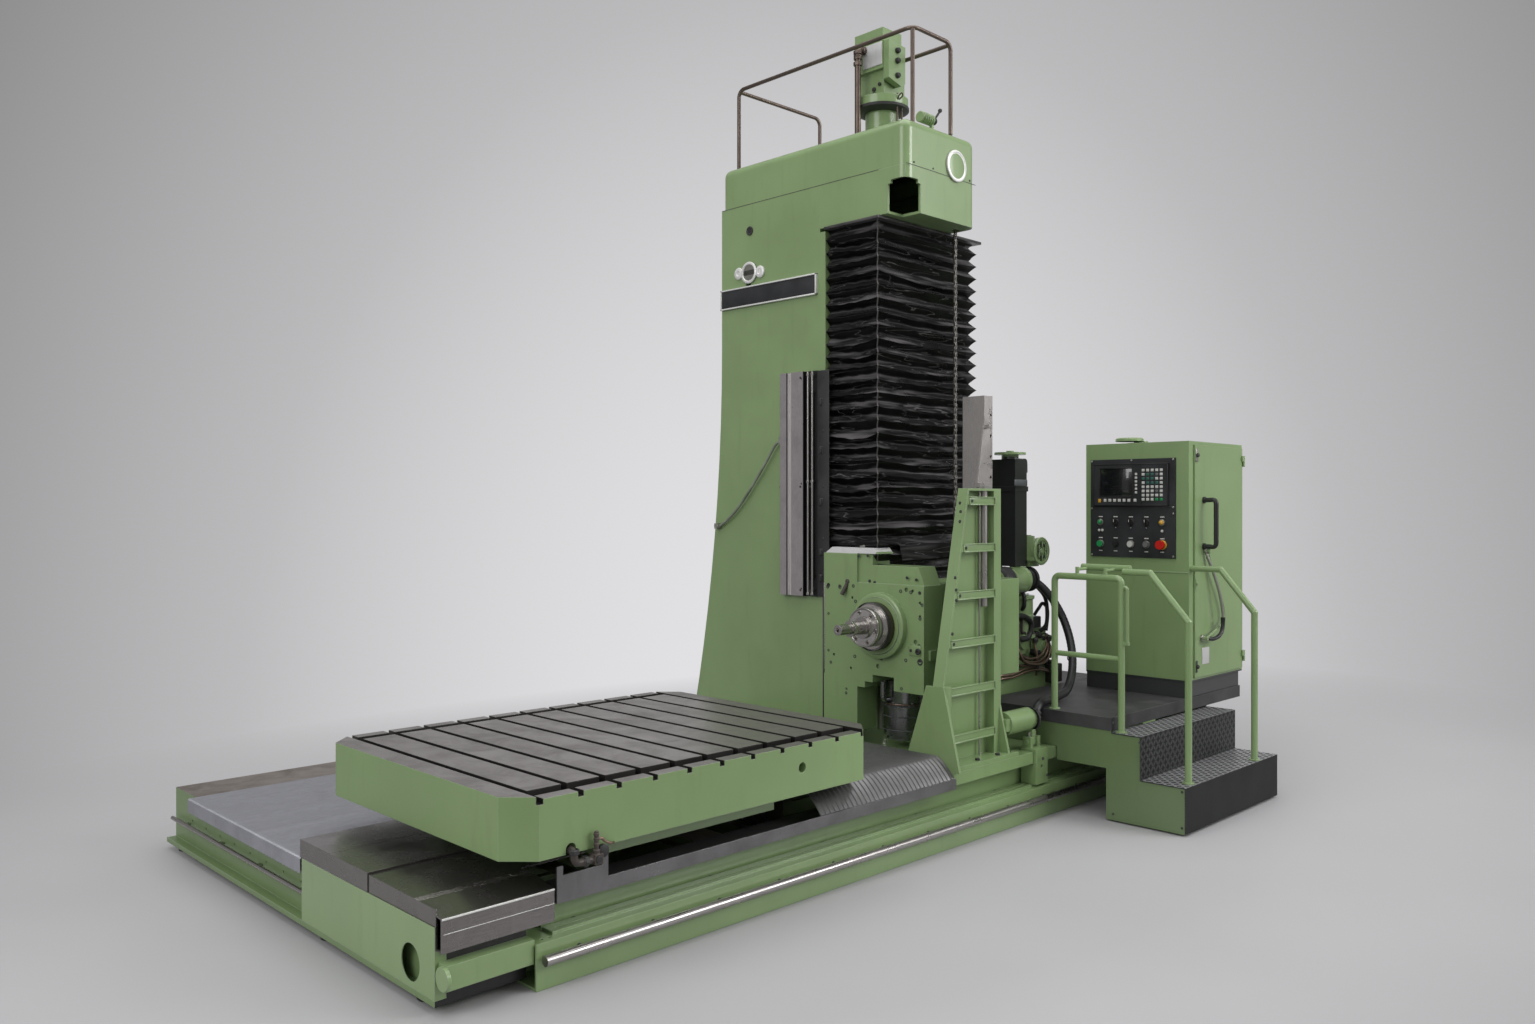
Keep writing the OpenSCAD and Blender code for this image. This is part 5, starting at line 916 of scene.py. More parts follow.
def cap_top():
    """Motor details, eyebolt and valve on the cap."""
    cx, cy = 3150.0, 1562.0
    dark = Shape().lathe((cx, cy, 3784), DOWN, [(150, 0), (150, 14), (120, 30), (96, 30)], 40)
    dark.bolts([(cx + u, cy + v, 3831) for u, v in circle(6, 125, 20)], UP, 10, 10)
    for z in (3930, 4010, 4065):
        dark.lathe((cx - 36, 1425, z), FRONT, [(16, -2), (16, 8), (12, 18), (7, 20), (0, 20)], 16)
    for r, y, z in ((10, cy - 60, 3890), (12, cy - 20, 3870)):
        dark.lathe((3062, y, z), LEFT, [(r, -2), (r, 8), (6, 10), (0, 10)], 12)
    dark.piece("motor_hubs", "dark_iron")
    face = Shape().block((3033, 1466, 3984), (3039, 1600, 4108), 3)
    face.piece("motor_face", "plate_metal", look="white_paint")
    outline = [(3044, 3905), (3150, 3880), (3184, 3900), (3184, 4100), (3044, 4112)]
    Shape().prism(outline, "Y", 1425, 1463).piece("motor_box", "machine_green")
    nuts = Shape()
    for z in (3572, 3990, 4052):
        nuts.lathe((2982, 1592, z), UP, [(17, 0), (24, 2), (24, 20), (17, 22)], 8)
    nuts.lathe((3012, 1592, 4085), RIGHT, [(17, 0), (24, 2), (24, 18), (17, 20)], 8)
    for i in range(2):
        nuts.lathe((3120 + 40 * i, 1430, 3700), UP, [(5, -130), (5, 70), (9, 74), (9, 84), (0, 84)], 10)
    eye = [(3118, 1424, 3800), (3110, 1410, 3816), (3118, 1396, 3830), (3132, 1402, 3820), (3126, 1420, 3802)]
    nuts.tube(eye, 4, 8, 6).piece("motor_fittings", "rail_steel")

    valve_z = CAP_TOP_Z + 118
    valve = Shape().rod((3255, 1300, CAP_TOP_Z), (3255, 1300, CAP_TOP_Z + 110), 12, 14, 2)
    for i in range(6):
        profile = [(0, 0), (26, 0), (30, 4), (30, 10), (24, 14), (24, 18), (0, 18)]
        valve.lathe((3150 + 18 * i, 1300, valve_z), RIGHT, profile, 20)
    valve.piece("valve_body", "machine_green")
    lever = Shape().lathe((3258, 1300, valve_z), RIGHT, [(0, 0), (20, 0), (20, 22), (14, 30), (0, 30)], 18)
    lever.tube([(3270, 1300, valve_z), (3290, 1290, valve_z + 32), (3300, 1280, valve_z + 54)], 6, 8, 4)
    lever.lathe((3300, 1280, valve_z + 54), (0.3, -0.3, 1), [(0, -6), (10, 0), (12, 8), (8, 16), (0, 18)], 12)
    lever.piece("valve_lever", "dark_iron")


# Headstock and spindle


def head_details():
    dark = Shape()
    for y, z, r in (
        (1635, 1163, 10), (1547, 1167, 11), (1453, 1176, 9), (1437, 1096, 9), (1136, 1165, 9), (1071, 1163, 9),
        (1016, 1162, 9), (1000, 1103, 8), (1013, 1034, 9), (1069, 884, 17), (1019, 901, 8), (1013, 818, 17),
        (1503, 609, 8), (1501, 632, 6), (1131, 673, 8), (1629, 824, 7), (1612, 761, 8), (1442, 808, 9),
        (1103, 819, 9), (1262, 813, 9), (1629, 1020, 7), (1417, 1333, 7), (1355, 1336, 7), (1096, 1234, 8),
        (1037, 1226, 8),
    ):
        profile = [(r, -2), (r, 1.5), (r * 0.82, 2.2), (r * 0.55, 2.2), (r * 0.5, -1), (0, -1)]
        dark.lathe((HEAD_X, y, z), LEFT, profile, 14)
    dark.screws([(2800, y, z) for y, z in ((1352, 1206), (1318, 1200), (1440, 1252))], LEFT, 8, 4)
    dark.piece("head_screws", "dark_iron", "head")

    nozzle = Shape().tube([(2792, 1496, 1190), (2776, 1503, 1160), (2760, 1512, 1128)], 11, 12, 4)
    nozzle.lathe((2795, 1494, 1196), UP, [(0, -6), (17, -6), (17, 8), (12, 14), (0, 14)], 14)
    nozzle.piece("head_nozzle", "pipe_metal", "head")
    path = [(2846, 1552, 1392), (2840, 1500, 1391), (2842, 1450, 1388), (2850, 1420, 1384)]
    tube = Shape().tube(path, 8).block((2820, 1404, 1376), (2872, 1440, 1398), 4)
    tube.piece("head_top_tube", "plate_metal", "head")
    strip = Shape().block((HEAD_X - 1.5, 1656, 700), (HEAD_X + 2, 1663, 1185), 0.5)
    strip.piece("head_edge_strip", "bright_steel", "head")
    Shape().block((2780, 1006, 846), (2800, 1082, 898), 3).piece("head_clamp", "machine_green", "head")
    knob = Shape().lathe((2780, 1020, 870), LEFT, [(16, -2), (16, 6), (12, 9), (8, 9), (8, 3), (0, 3)], 18)
    knob.lathe((2780, 1066, 872), LEFT, [(8, -2), (8, 3), (0, 3)], 12)
    knob.piece("head_clamp_screw", "dark_iron", "head")

    for name, slot, body, x, profile in (
        ("spindle_flange", "machine_green", "head", 2756,
         [(168, 0), (168, 4), (163, 8), (148, 8), (146, 12), (146, -4)]),
        ("sleeve_band", "dark_iron", "spindle_sleeve", 2704,
         [(122.5, -10), (123.5, -6), (123.5, 6), (122.5, 10)]),
    ):
        Shape().lathe((x, SPINDLE_Y, SPINDLE_Z), LEFT, profile, 64).piece(name, slot, body)
    nose_x = 2642
    profile = [(100.5, -14), (101, -10), (101, -3), (98, 1.5), (92, 1.5), (90, 0.5)]
    nose = Shape().lathe((nose_x, SPINDLE_Y, SPINDLE_Z), LEFT, profile, 64)
    for u, v in circle(6, 78, 10):
        profile = [(9, -6), (12.5, -1), (12.5, 1.6), (9.2, 1.6), (9, -6)]
        nose.lathe((nose_x, SPINDLE_Y + u, SPINDLE_Z + v), LEFT, profile, 16)
    nose.piece("nose_rim", "ground_steel", "spindle_sleeve")

    x, y = 3000, 1275
    motor = Shape()
    for z in (430, 500, 556):
        motor.lathe((x, y, z), UP, [(118, -3), (120, 0), (118, 3)], 48)
    motor.bolts([(x + u, y + v, 560) for u, v in circle(10, 108, 12)], UP, 8, 8)
    motor.piece("lower_motor_bands", "motor_grey", "head")
    ring = Shape().lathe((x, y, 566), UP, [(121, -3), (122, 0), (121, 3)], 48)
    ring.piece("lower_motor_ring", "rail_steel", "head", "copper_pipe")


# Tower, post, clamp cylinder


def tower_details():
    rungs = [1620 - i * 230 for i in range(6)]
    lefts = [2664 + 206 * max(0.0, (z - 730) / 952) for z in rungs]
    bolts = Shape()
    for z, left in zip(rungs, lefts):
        bolts.bolts([(left + 40, TOWER_Y, z)], FRONT, 9, 7)
    places = (
        (2762, 1250), (2770, 1190), (2772, 1140), (2740, 980), (2700, 620), (2692, 560), (2700, 470),
        (2800, 1610), (2806, 1568), (2800, 1520),
    )
    bolts.screws([(x, TOWER_Y, z) for x, z in places], FRONT, 8, 4)
    bolts.screws([(x, 745, 356.4) for x in (2690, 2724, 2894, 3064, 3160)], UP, 12, 10)
    bolts.piece("tower_bolts", "dark_iron")

    lips = Shape()
    for z, left in zip(rungs, lefts):
        for x, y0, y1, below, above in (
            (left + 22, 11, -0.5, -21, -16), (left + 22, 11, -0.5, 16, 21),
            (3086, 11, -0.5, -21, 21), (left + 22, 4, 2, -20, 20),
        ):
            lips.block((x, TOWER_Y - y0, z + below), (3094, TOWER_Y + y1, z + above))
    lips.piece("tower_rungs", "machine_green")

    y, z = 777, 487
    end = Shape().lathe((3410, y, z), RIGHT, [(59.5, -6), (60, -2), (60, 3), (56, 6), (54, 15), (0, 15)], 40)
    end.piece("cylinder_end", "dark_iron")
    studs = Shape()
    for dy, dz in ((-22, 4), (6, -2), (30, -8)):
        profile = [(0, 0), (12, 0), (13, 6), (13, 24), (10, 28), (7, 30), (7, 44), (4, 48), (0, 48)]
        studs.lathe((3424, y + dy, z + dz), RIGHT, profile, 16)
    studs.piece("cylinder_studs", "bright_steel")
    links = Shape()
    for x in (3374, 3400, 3424):
        links.rod((x, 762, 340), (x, 762, 426), 9, 12, 1)
        links.lathe((x, 762, 352), UP, [(9, 0), (14, 0), (14, 12), (9, 12)], 6)
    links.piece("cylinder_links", "plate_metal")


# Pump unit


def unit_details():
    y, z = 1265.0, 1160.0
    drum_x, drum_y = 4098, 1290
    pump_x, pump_z = 4192, 1326
    drum = Shape().lathe((3922, y, z), RIGHT, [
        (60, -4), (80, -4), (80, 10), (77, 14), (77, 132), (81, 136), (81, 150), (60, 150),
    ], 48)
    drum.lathe((drum_x, drum_y, 815), UP, [
        (0, 0), (90, 0), (90, 22), (76, 27), (76, 120), (80, 124), (80, 134), (76, 138), (76, 225), (85, 232),
        (85, 250), (40, 256), (0, 256),
    ], 40)
    drum.block((3832, 1240, 884), (3946, 1255, 1046), 5)
    drum.block((3770, 1236, 640), (3968, 1286, 800), 8).piece("unit_drums", "machine_green")

    dark = Shape().border("Y", (1246, 1257), (3824, 876), (3954, 1054), 8)
    for (u, v), (s, t) in zip(circle(9, 68), circle(9, 84)):
        dark.lathe((4068, y + u, z + v), RIGHT, disc(8, -2, 12), 6)
        dark.lathe((drum_x + s, drum_y + t, 836), UP, disc(7, -2, 8), 6)
    dark.block((4300, 1196, 530), (4416, 1247, 640), 6)
    dark.block((4196, 1262, 862), (4286, 1300, 930), 6)
    dark.bolts([(x, 1236, z0) for x in (3790, 3948) for z0 in (660, 780)], FRONT, 9, 8)
    dark.bolts([(3889, 1240, z0) for z0 in (904, 1026)], FRONT, 9, 8)
    dark.piece("unit_dark_parts", "dark_iron")

    sleeve = Shape().tube([(4074 + 12 * i, y, z) for i in range(7)], 58, 28, 3, 5)
    sleeve.lathe((4140, y, z), RIGHT, [(40, 0), (72, 0), (74, 4), (74, 18), (70, 22), (40, 30)], 40)
    sleeve.piece("connector_sleeve", "black_rubber")

    turn = circle(9, 75)
    coil = [(3800 + 2.1 * i, y + turn[i % 9][0], z + turn[i % 9][1]) for i in range(58)]
    Shape().tube(coil, 9, 8, 2).piece("coiled_hose", "black_rubber")

    hose = Shape().tube([
        (4082, 1265, 1160), (4108, 1265, 1160), (4132, 1265, 1160), (4196, 1225, 1130), (4246, 1170, 1050),
        (4256, 1095, 930), (4208, 1015, 790), (4086, 933, 666), (3926, 869, 574), (3790, 846, 553),
        (3660, 826, 551), (3580, 814, 550), (3525, 804, 536), (3488, 797, 508), (3468, 795, 488),
    ], 22.5, 18, 14, 1.2)
    hose.lathe((3474, 795, 493), (1, 0.05, 0.55), [(30, -8), (30, 10), (27, 14), (27, 30), (22, 34)], 8)
    for place, axis in (((4250, 1150, 1020), (0.1, -0.5, -1)), ((4150, 975, 722), (-1, -0.6, -0.9))):
        hose.lathe(place, axis, [(23, 0), (25.5, 2), (25.5, 14), (23, 16)], 20)
    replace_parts(hose.piece("loop_hose_full", "black_rubber", "carriage"), "loop_hose")

    pipes = Shape()
    for path in (
        ((3790, 1225, 900), (3830, 1205, 858), (3824, 1196, 780), (3862, 1198, 718),
         (3966, 1200, 668), (4136, 1204, 655), (4248, 1210, 676), (4290, 1232, 700)),
        ((3905, 1225, 822), (3926, 1205, 748), (3968, 1198, 704), (4098, 1200, 674),
         (4218, 1204, 688), (4274, 1210, 744), (4286, 1228, 826)),
        ((3915, 1228, 836), (3950, 1208, 758), (4034, 1200, 702), (4186, 1204, 706),
         (4272, 1214, 768), (4276, 1240, 800)),
        ((3900, 1230, 850), (3936, 1196, 762), (3986, 1184, 690), (4120, 1186, 660),
         (4236, 1194, 672), (4296, 1206, 736), (4300, 1232, 812)),
        ((3720, 1246, 600), (3780, 1226, 622), (3890, 1214, 622), (4012, 1208, 640),
         (4138, 1206, 642), (4270, 1214, 612), (4300, 1230, 600)),
        ((3720, 1246, 580), (3790, 1220, 604), (3900, 1208, 606), (4020, 1202, 624),
         (4150, 1200, 626), (4300, 1215, 596)),
        ((4130, 1226, 812), (4136, 1204, 740), (4142, 1198, 670), (4156, 1215, 590)),
    ):
        pipes.tube(path, 7.5, 10, 6)
    pipes.piece("bent_pipes", "rail_steel", look="copper_pipe")

    joints = Shape()
    for x, z0 in (
        (3905, 842), (3926, 720), (3826, 800), (4135, 800), (4284, 800), (4284, 700), (4142, 640), (3790, 905),
    ):
        profile = [(0, -16), (13, -16), (13, -6), (17, -4), (17, 8), (12, 10), (12, 18), (0, 18)]
        joints.lathe((x, 1205, z0), (0.3, 0, 1), profile, 8)
    for x, z0 in ((4210, 720), (4240, 660), (4262, 800), (4330, 700), (4230, 820), (4330, 800), (4340, 650)):
        profile = [(0, -20), (24, -20), (24, 8), (16, 14), (16, 30), (9, 34), (0, 34)]
        joints.lathe((x, 1258, z0), FRONT, profile, 8)
    joints.piece("pipe_joints", "dark_iron")

    hoses = Shape()
    for r, sides, path in (
        (17, 14, ((3860, 1236, 940), (3886, 1214, 950), (3998, 1208, 952), (4080, 1210, 918),
                  (4092, 1212, 868), (4060, 1214, 820), (3980, 1222, 818))),
        (11, 12, ((3786, 1260, 1085), (3768, 1216, 1020), (3788, 1200, 944), (3818, 1198, 900),
                  (3848, 1202, 830), (3830, 1234, 781))),
        (12, 12, ((4046, 1245, 1090), (4040, 1224, 1066), (4040, 1222, 1010), (4050, 1250, 980))),
        (12, 12, ((4238, 1262, 1110), (4262, 1226, 1055), (4284, 1222, 985), (4284, 1226, 885),
                  (4262, 1258, 840))),
        (10, 12, ((4220, 1270, 940), (4226, 1240, 985), (4262, 1236, 1010), (4322, 1240, 960),
                  (4340, 1262, 840))),
    ):
        hoses.tube(path, r, sides, 6)
    hoses.piece("unit_hoses", "black_rubber")

    profile = [(78, -2), (80, 4), (74, 10), (52, 14), (50, 22), (22, 24), (0, 24)]
    flange = Shape().lathe((4276, 1245, 740), FRONT, profile, 36)
    flange.bolts([(3940, 1242, z0) for z0 in (760, 860, 960)], FRONT, 9, 8)
    flange.bolts([(3800, 1252, z0) for z0 in (690, 860, 1010)], FRONT, 9, 8)
    flange.piece("unit_flange", "machine_green")

    end = Shape()
    profile = [(82, -6), (84, 0), (80, 5), (66, 6), (62, 2), (18, 2), (16, 6), (0, 6)]
    end.lathe((pump_x, 1201, pump_z), FRONT, profile, 40)
    for u, v in circle(6, 40, 30):
        x, z0 = pump_x + u, pump_z + v
        end.block((x - 4, 1193, z0 - 18), (x + 4, 1197, z0 + 18), 1.5)
    end.block((4118, 1206, 1268), (4128, 1370, 1418), 4).piece("pump_end", "machine_green")
    vents = Shape()
    for u, v in circle(6, 40):
        vents.lathe((pump_x + u, 1199, pump_z + v), FRONT, disc(11, 0, 1), 14)
    for z0 in (1390, 1362, 1340):
        vents.lathe((4152, 1203, z0), FRONT, disc(7, -2, 4), 10)
    vents.piece("pump_vents", "dark_iron")

    tank = Shape().block((3934, 1217, 1712), (4066, 1222, 1748), 2)
    tank.block((3942, 1219, 1090), (4060, 1224, 1096))
    rim = [(3946, 1218, 1870), (4000, 1216, 1868), (4044, 1216, 1868), (4058, 1216, 1850), (4060, 1216, 1790)]
    tank.tube(rim, 3, 6, 4).piece("tank_edges", "motor_grey")


# Cabinet and its door


def cabinet_details():
    low, high = 1366, 1628
    handle = Shape().tube([(HANDLE_X, y, z) for y, z in (
        (372, low), (340, low), (312, low), (299, 1380), (298, 1420), (298, 1500), (298, 1574), (299, 1614),
        (312, high), (340, high), (372, high),
    )], 13.2, 14, 4)
    for z in (low, high):
        handle.lathe((HANDLE_X, 371, z), FRONT, [(19, -2), (19, 10), (15, 14), (13, 14)], 18)
    handle.piece("door_handle", "key_black", "door")
    roof = Shape().lathe((4500, 800, 1974.5), UP, [(80, -1), (80, 12), (72, 18), (20, 18), (0, 18)], 36)
    roof.piece("roof_disc", "machine_green")


def control_unit():
    """Display unit and control rows on the cabinet's face."""
    unit_x = PANEL_X - 16.0
    places = (
        (971, 1857), (467, 1857), (971, 1580), (467, 1587), (467, 1551), (971, 1309), (467, 1311), (719, 1857),
    )
    Shape().screws([(PANEL_X, y, z) for y, z in places], LEFT, 6, 3).piece("panel_screws", "plate_metal")

    seam = Shape().block((PANEL_X - 1.5, 457, 1587), (PANEL_X + 1, 977, 1591), 0.4)
    seam.border("X", (unit_x - 3, unit_x + 1), (490, 1596), (953, 1837), 5)
    seam.block((unit_x - 3, 648, 1601), (unit_x + 1, 651, 1832))
    seam.border("X", (unit_x - 2.5, unit_x + 1), (703, 1648), (915, 1816), 6)
    seam.piece("unit_frame", "key_black")

    glass = Shape().block((unit_x + 3, 709.3, 1654.3), (unit_x + 5.9, 908.7, 1809.7))
    glass.piece("screen", "key_black", look="screen_glass")

    def keys(name, places, width, height, slot, look=None):
        shape = Shape()
        for y, z in places:
            low = (unit_x - 4, y - width / 2, z - height / 2)
            shape.block(low, (unit_x + 1, y + width / 2, z + height / 2), 1.5)
        shape.piece(name, slot, look=look)

    def pad(name, cells, slot, look=None):
        keys(name, [(638 - 27.25 * c, 1798 - 23.7 * r) for c, r in cells], 17, 15, slot, look)

    keys("soft_keys", [(876 - 30 * i, 1627) for i in range(6)] + [(688, 1627)], 17, 17, "key_white")
    keys("amber_key", [(912, 1625)], 16, 20, "key_white", "lamp_amber")
    keys("side_keys", [(682, 1777 - 21 * i) for i in range(6)], 14, 13, "key_white")
    teal = [(c, r) for c in (1, 2) for r in (1, 2, 3)] + [(0, 2), (3, 3)]
    green = [(4, 7), (3, 7)]
    dark = [(3, 5), (3, 1)]
    light = [(c, r) for c in range(5) for r in range(8) if (c, r) not in teal + green + dark]
    pad("pad_light", light, "key_white")
    pad("pad_teal", teal, "key_grey", "key_teal")
    pad("pad_green", green, "start_green")
    pad("pad_dark", dark, "key_grey")

    low_z, high_z = 1375.0, 1501.0
    ys = (914.0, 818.5, 723.0, 627.5, 532.0)
    marks = Shape()

    def mark(y, low, high, half):
        marks.block((PANEL_X - 1.2, y - half, low), (PANEL_X + 0.5, y + half, high), 0.4)

    for y in ys:
        mark(y, high_z + 28, high_z + 34, 13)
        mark(y, low_z + 31, low_z + 37, 13)
        mark(y, low_z - 44, low_z - 39, 11)
    for y in ys[1:4]:
        mark(y, high_z - 34, high_z - 30, 3)
    for y in (ys[0] + 9, ys[0] - 11, ys[4]):
        marks.lathe((PANEL_X, y, 1453), LEFT, [(8, -1), (8, 4), (5, 6), (0, 6)], 12)
    marks.piece("label_marks", "key_white")

    bezels = Shape()
    for y, r in ((ys[0], 21), (ys[2], 21), (ys[3], 20)):
        bezels.lathe((PANEL_X, y, low_z), LEFT, [(r + 2, -1), (r + 2, 5), (r, 8), (r - 2, 8), (r - 2, 2)], 28)
    for y in (ys[0], ys[4]):
        bezels.lathe((PANEL_X, y, high_z), LEFT, [(20, -1), (20, 6), (17, 10.5), (14, 11), (14, 6)], 28)
    bezels.piece("chrome_bezels", "plate_metal")
    black = Shape()
    for y in ys[1:4]:
        black.lathe((PANEL_X, y, high_z), LEFT, [(22, -1), (22, 3), (19, 5), (10, 5)], 28)
    black.lathe((PANEL_X, ys[1], low_z), LEFT, [(20, -1), (20, 5), (18, 8), (16.6, 8), (16.6, 2)], 28)
    black.piece("black_bezels", "key_black")
    ring = Shape().lathe((PANEL_X, ys[4], low_z), LEFT, [(27, -1), (27, 1), (25.5, 1.6), (10, 1.6)], 36)
    ring.piece("stop_ring", "key_white", look="lamp_amber")
    for name, y, slot, look in (
        ("green_lamp", ys[0], "start_green", None), ("amber_lamp", ys[4], "key_white", "lamp_amber"),
    ):
        lamp = Shape().lathe((PANEL_X - 9, y, high_z), LEFT, [(13.5, 0), (13.5, 5), (11, 10), (6, 13), (0, 14)])
        lamp.piece(name, slot, look=look)
    for body, y in (("mode_dial", ys[1]), ("speed_dial", ys[2]), ("feed_dial", ys[3])):
        pointer = Shape().block((4343.6, y - 1.6, high_z), (4346, y + 1.6, high_z + 15), 0.5)
        pointer.piece(body + "_pointer", "key_white", body)


def door_details():
    x = HANDLE_X
    metal = Shape().tube([
        (x + 8, 360, 1340), (x + 12, 350, 1300), (x + 44, 338, 1230), (x + 96, 324, 1110), (x + 128, 318, 1000),
        (x + 132, 318, 950),
    ], 8.2, 10, 6)
    metal.lathe((x + 8, 362, 1343), (0, -0.6, -1), [(14, -8), (14, 6), (10, 14), (8, 14)], 12)
    metal.lathe((x - 30, 372, 853), FRONT, [(0, -2), (18, -2), (18, 12), (14, 14), (14, 26), (11, 28)], 8)
    metal.piece("door_cable_metal", "plate_metal", "door")
    black = Shape().tube([
        (x + 132, 318, 956), (x + 131, 318, 920), (x + 116, 318, 882), (x + 76, 320, 856), (x + 24, 326, 846),
        (x - 10, 334, 850), (x - 30, 350, 853),
    ], 11.5, 12, 6)
    black.lathe((x + 132, 318, 962), DOWN, [(9, 0), (13, 2), (13, 20), (11, 22)], 12)
    black.piece("door_cable_black", "black_rubber", "door")
    dark = Shape()
    for z in (697, 1878):
        dark.lathe((4448, 364, z), FRONT, [(0, -4), (12, -4), (12, 8), (8, 12), (0, 12)], 16)
    dark.block((4437, 366, 664), (4461, 369, 730), 2)
    dark.screws([(4700, CABINET_DOOR_Y, 1236), (x + 40, CABINET_DOOR_Y, 1300)], FRONT, 5, 3)
    dark.piece("door_latch_dark", "dark_iron", "door")
    Shape().block((4436, 364.5, 1842), (4466, 368, 1914), 2).piece("door_latch_light", "plate_metal", "door")
    blank = Shape().block((4521, 368, 702), (4609, 370.5, 795))
    blank.piece("door_blank_plate", "key_white", "door", "white_paint")


# Platform, stairs, beam and table


def platform_details():
    places = ((384, 40), (384, 500), (20, 40), (20, 214), (240, 420), (1150, 500), (760, 500))
    screws = Shape().screws([(3551.0, y, z) for y, z in places], LEFT, 6, 3)
    for y, levels in ((6, (40, 208)), (239, (262, 424))):
        screws.screws([(x, y, z) for x in (3575, 4612) for z in levels], FRONT, 5, 2.5)
    screws.piece("platform_screws", "dark_iron")
    Shape().screws([(3376, 682, 300), (3418, 682, 210)], FRONT, 8, 5).piece("clamp_screws", "dark_iron")
    bed = Shape().screws([(x, 683, 112) for x in range(500, 5500, 320)], FRONT, 7, 4)
    bed.bolts([(x, 800, 156) for x in range(560, 5500, 640)], UP, 9, 7).piece("beam_screws", "dark_iron", "bed")
    # Two thin pale strips along the front cover's folded plate edges: bare steel edges with their highlight
    # painted in
    lines = Shape().block((4, 706.5, 309), (419, 710, 315)).block((10, 708, 264), (419, 710, 266), 0)
    lines.piece("front_cover_edge_highlights", "plate_metal", "bed", "plate_edge")


def fittings_details():
    """Oil drain under the table's edge: nuts, banjo, nipple and a short cable."""
    nuts = Shape().lathe((441, 626, 460), DOWN, [(13, 0), (19, 3), (19, 16), (13, 18)], 6)
    nuts.lathe((475, 626, 410), RIGHT, [(13, 0), (20, 3), (20, 15), (13, 18)], 6)
    nuts.lathe((531, 608, 410), FRONT, disc(13, -4, 3), 6)
    nuts.lathe((560, 626, 430), FRONT, [(0, -10), (22, -10), (22, 4), (16, 8), (0, 8)], 18)
    nuts.piece("drain_nuts", "dark_iron", "table")
    path = [(531, 626, 468), (548, 624, 476), (566, 624, 462), (590, 626, 450), (610, 636, 446)]
    Shape().tube(path, 5, 8, 6).piece("drain_wire", "rail_steel", "table", "copper_pipe")


bellows()
pleated_cover()
ribbed_cover("column_cover", "ribbed_cover_left")
ribbed_cover("back_cover", "ribbed_cover_right")
chain()
column_details()
cap_top()
head_details()
tower_details()
unit_details()
cabinet_details()
control_unit()
door_details()
platform_details()
fittings_details()


# Camera, light and floor


def add_camera():
    data = bpy.data.cameras.new("camera")
    data.sensor_width = 36.0
    data.lens = data.sensor_width * PHOTO_FOCAL_PX / PHOTO_W
    data.shift_y = -PHOTO_HORIZON_PX / PHOTO_W
    data.clip_end = 200.0
    camera = add("camera", data, CAMERA_AT)
    camera.rotation_euler = (math.radians(90), 0, CAMERA_AZIMUTH - math.radians(90))
    bpy.context.scene.camera = camera


def add_lamp(name, place, target, size, power):
    data = bpy.data.lights.new(name, "AREA")
    data.shape = "RECTANGLE"
    data.size, data.size_y = size
    data.energy = power
    sight = Vector(target) - Vector(place)
    add(name, data, place).rotation_euler = sight.to_track_quat("-Z", "Y").to_euler()


def backdrop_tone(g, direction):
    """Grey of the seamless backdrop: lightest low in the middle of the view, darker to its corners."""
    heading = CAMERA_AZIMUTH + BACKDROP_TURN
    lightest = Vector((math.cos(heading), math.sin(heading), BACKDROP_DROP)).normalized()
    flatter = g.vector("NORMALIZE", g.vector("MULTIPLY", direction, (1.0, 1.0, 0.75)))
    ramp = g.node("ShaderNodeValToRGB", {"Fac": g.vector("DOT_PRODUCT", flatter, lightest)})
    stops = ramp.color_ramp.elements
    stops[0].position, stops[0].color = 0.74, (0.27, 0.265, 0.268, 1)
    stops[1].position, stops[1].color = 1.0, (0.765, 0.757, 0.774, 1)
    for position, tone in BACKDROP_STOPS:
        stops.new(position).color = (tone * 1.003, tone * 0.992, tone * 1.012, 1)
    return ramp.outputs["Color"]


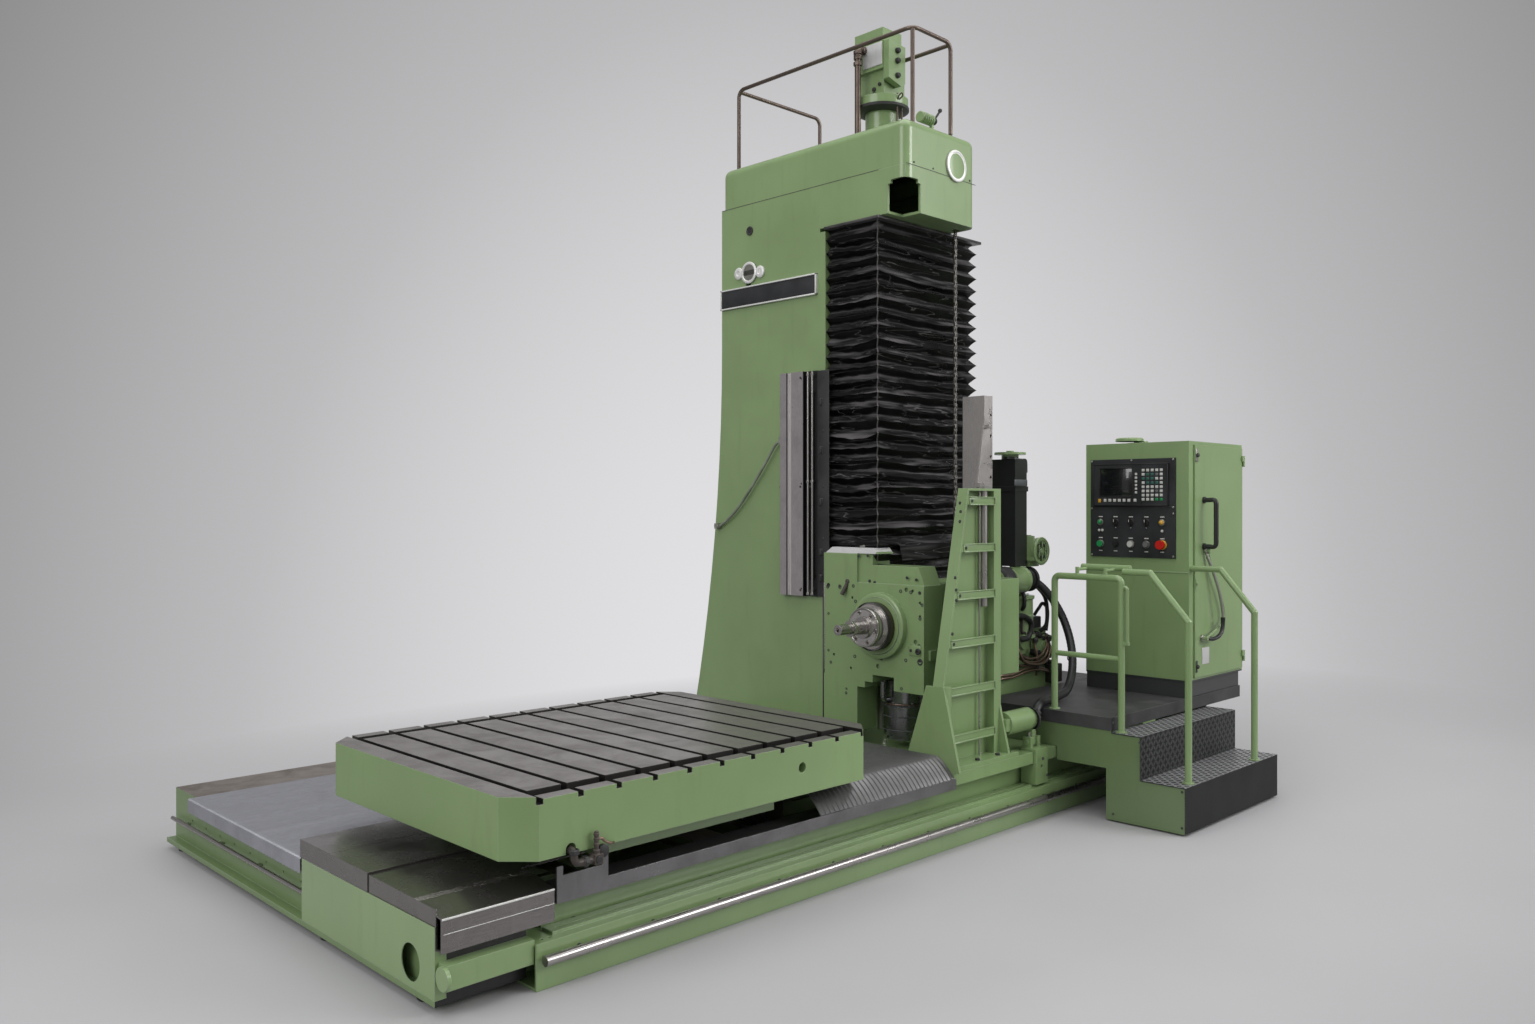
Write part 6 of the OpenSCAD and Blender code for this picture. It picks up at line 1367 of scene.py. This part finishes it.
def add_world():
    """Even light on the machine, and the backdrop where the camera, glass or metal sees the world."""
    world = bpy.data.worlds.new("studio")
    bpy.context.scene.world = world
    world.use_nodes = True
    g = Tree(world.node_tree)
    shown = world.node_tree.nodes["Background"]
    place = g.node("ShaderNodeTexCoord").outputs["Generated"]
    g.put(shown.inputs["Color"], backdrop_tone(g, place))
    ambient = g.node("ShaderNodeBackground", {"Color": (1.0, 1.0, 1.0), "Strength": AMBIENT})
    path = g.node("ShaderNodeLightPath")
    seen = path.outputs["Is Camera Ray"]
    for name in ("Is Glossy Ray", "Is Transmission Ray"):
        seen = g.math("MAXIMUM", seen, path.outputs[name])
    g.end("World Output", seen, ambient.outputs["Background"], shown.outputs["Background"])


def add_floor():
    """Studio floor that keeps the shadows near the machine and turns into the backdrop far away."""
    g = Graph("floor_grey")
    cloud = g.noise(1.6, 4.0)
    tone = g.mix(g.spread(cloud), (0.385, 0.381, 0.39), (0.405, 0.4, 0.409))
    material = g.finish(tone, g.spread(cloud, 0.55, 0.65), g.bump(g.noise(0.05, 5.0), 0.03, 0.002))
    far = g.ramp(g.vector("LENGTH", g.stretched((0.6, 1.0, 1.0))), 2.1, 4.3)
    sight = g.vector("MULTIPLY", g.geometry["Incoming"], (-1.0, -1.0, -1.0))
    glow = g.node("ShaderNodeEmission", {"Color": backdrop_tone(g, sight)})
    g.end("Material Output", far, g.shader.outputs["BSDF"], glow.outputs["Emission"])
    mesh = bpy.data.meshes.new("floor")
    half = 60.0
    mesh.from_pydata([(-half, -half, 0), (half, -half, 0), (half, half, 0), (-half, half, 0)], [], [(0, 1, 2, 3)])
    mesh.materials.append(material)
    floor = add("floor", mesh, (0, 0, cad_box[0][2] - 0.0005))


add_camera()
add_world()
add_floor()
add_lamp("overhead", (-0.5, -1.0, 8.5), (0, 0, 0), (9, 8), 400)
add_lamp("right_front", (4.5, -8.0, 5.0), (0.3, 0, 1.2), (5, 4), 470)
add_lamp("left_front", (-8.5, -0.5, 5.0), (0, 0, 1.4), (5, 4), 235)

bpy.context.scene.view_settings.view_transform = "Standard"
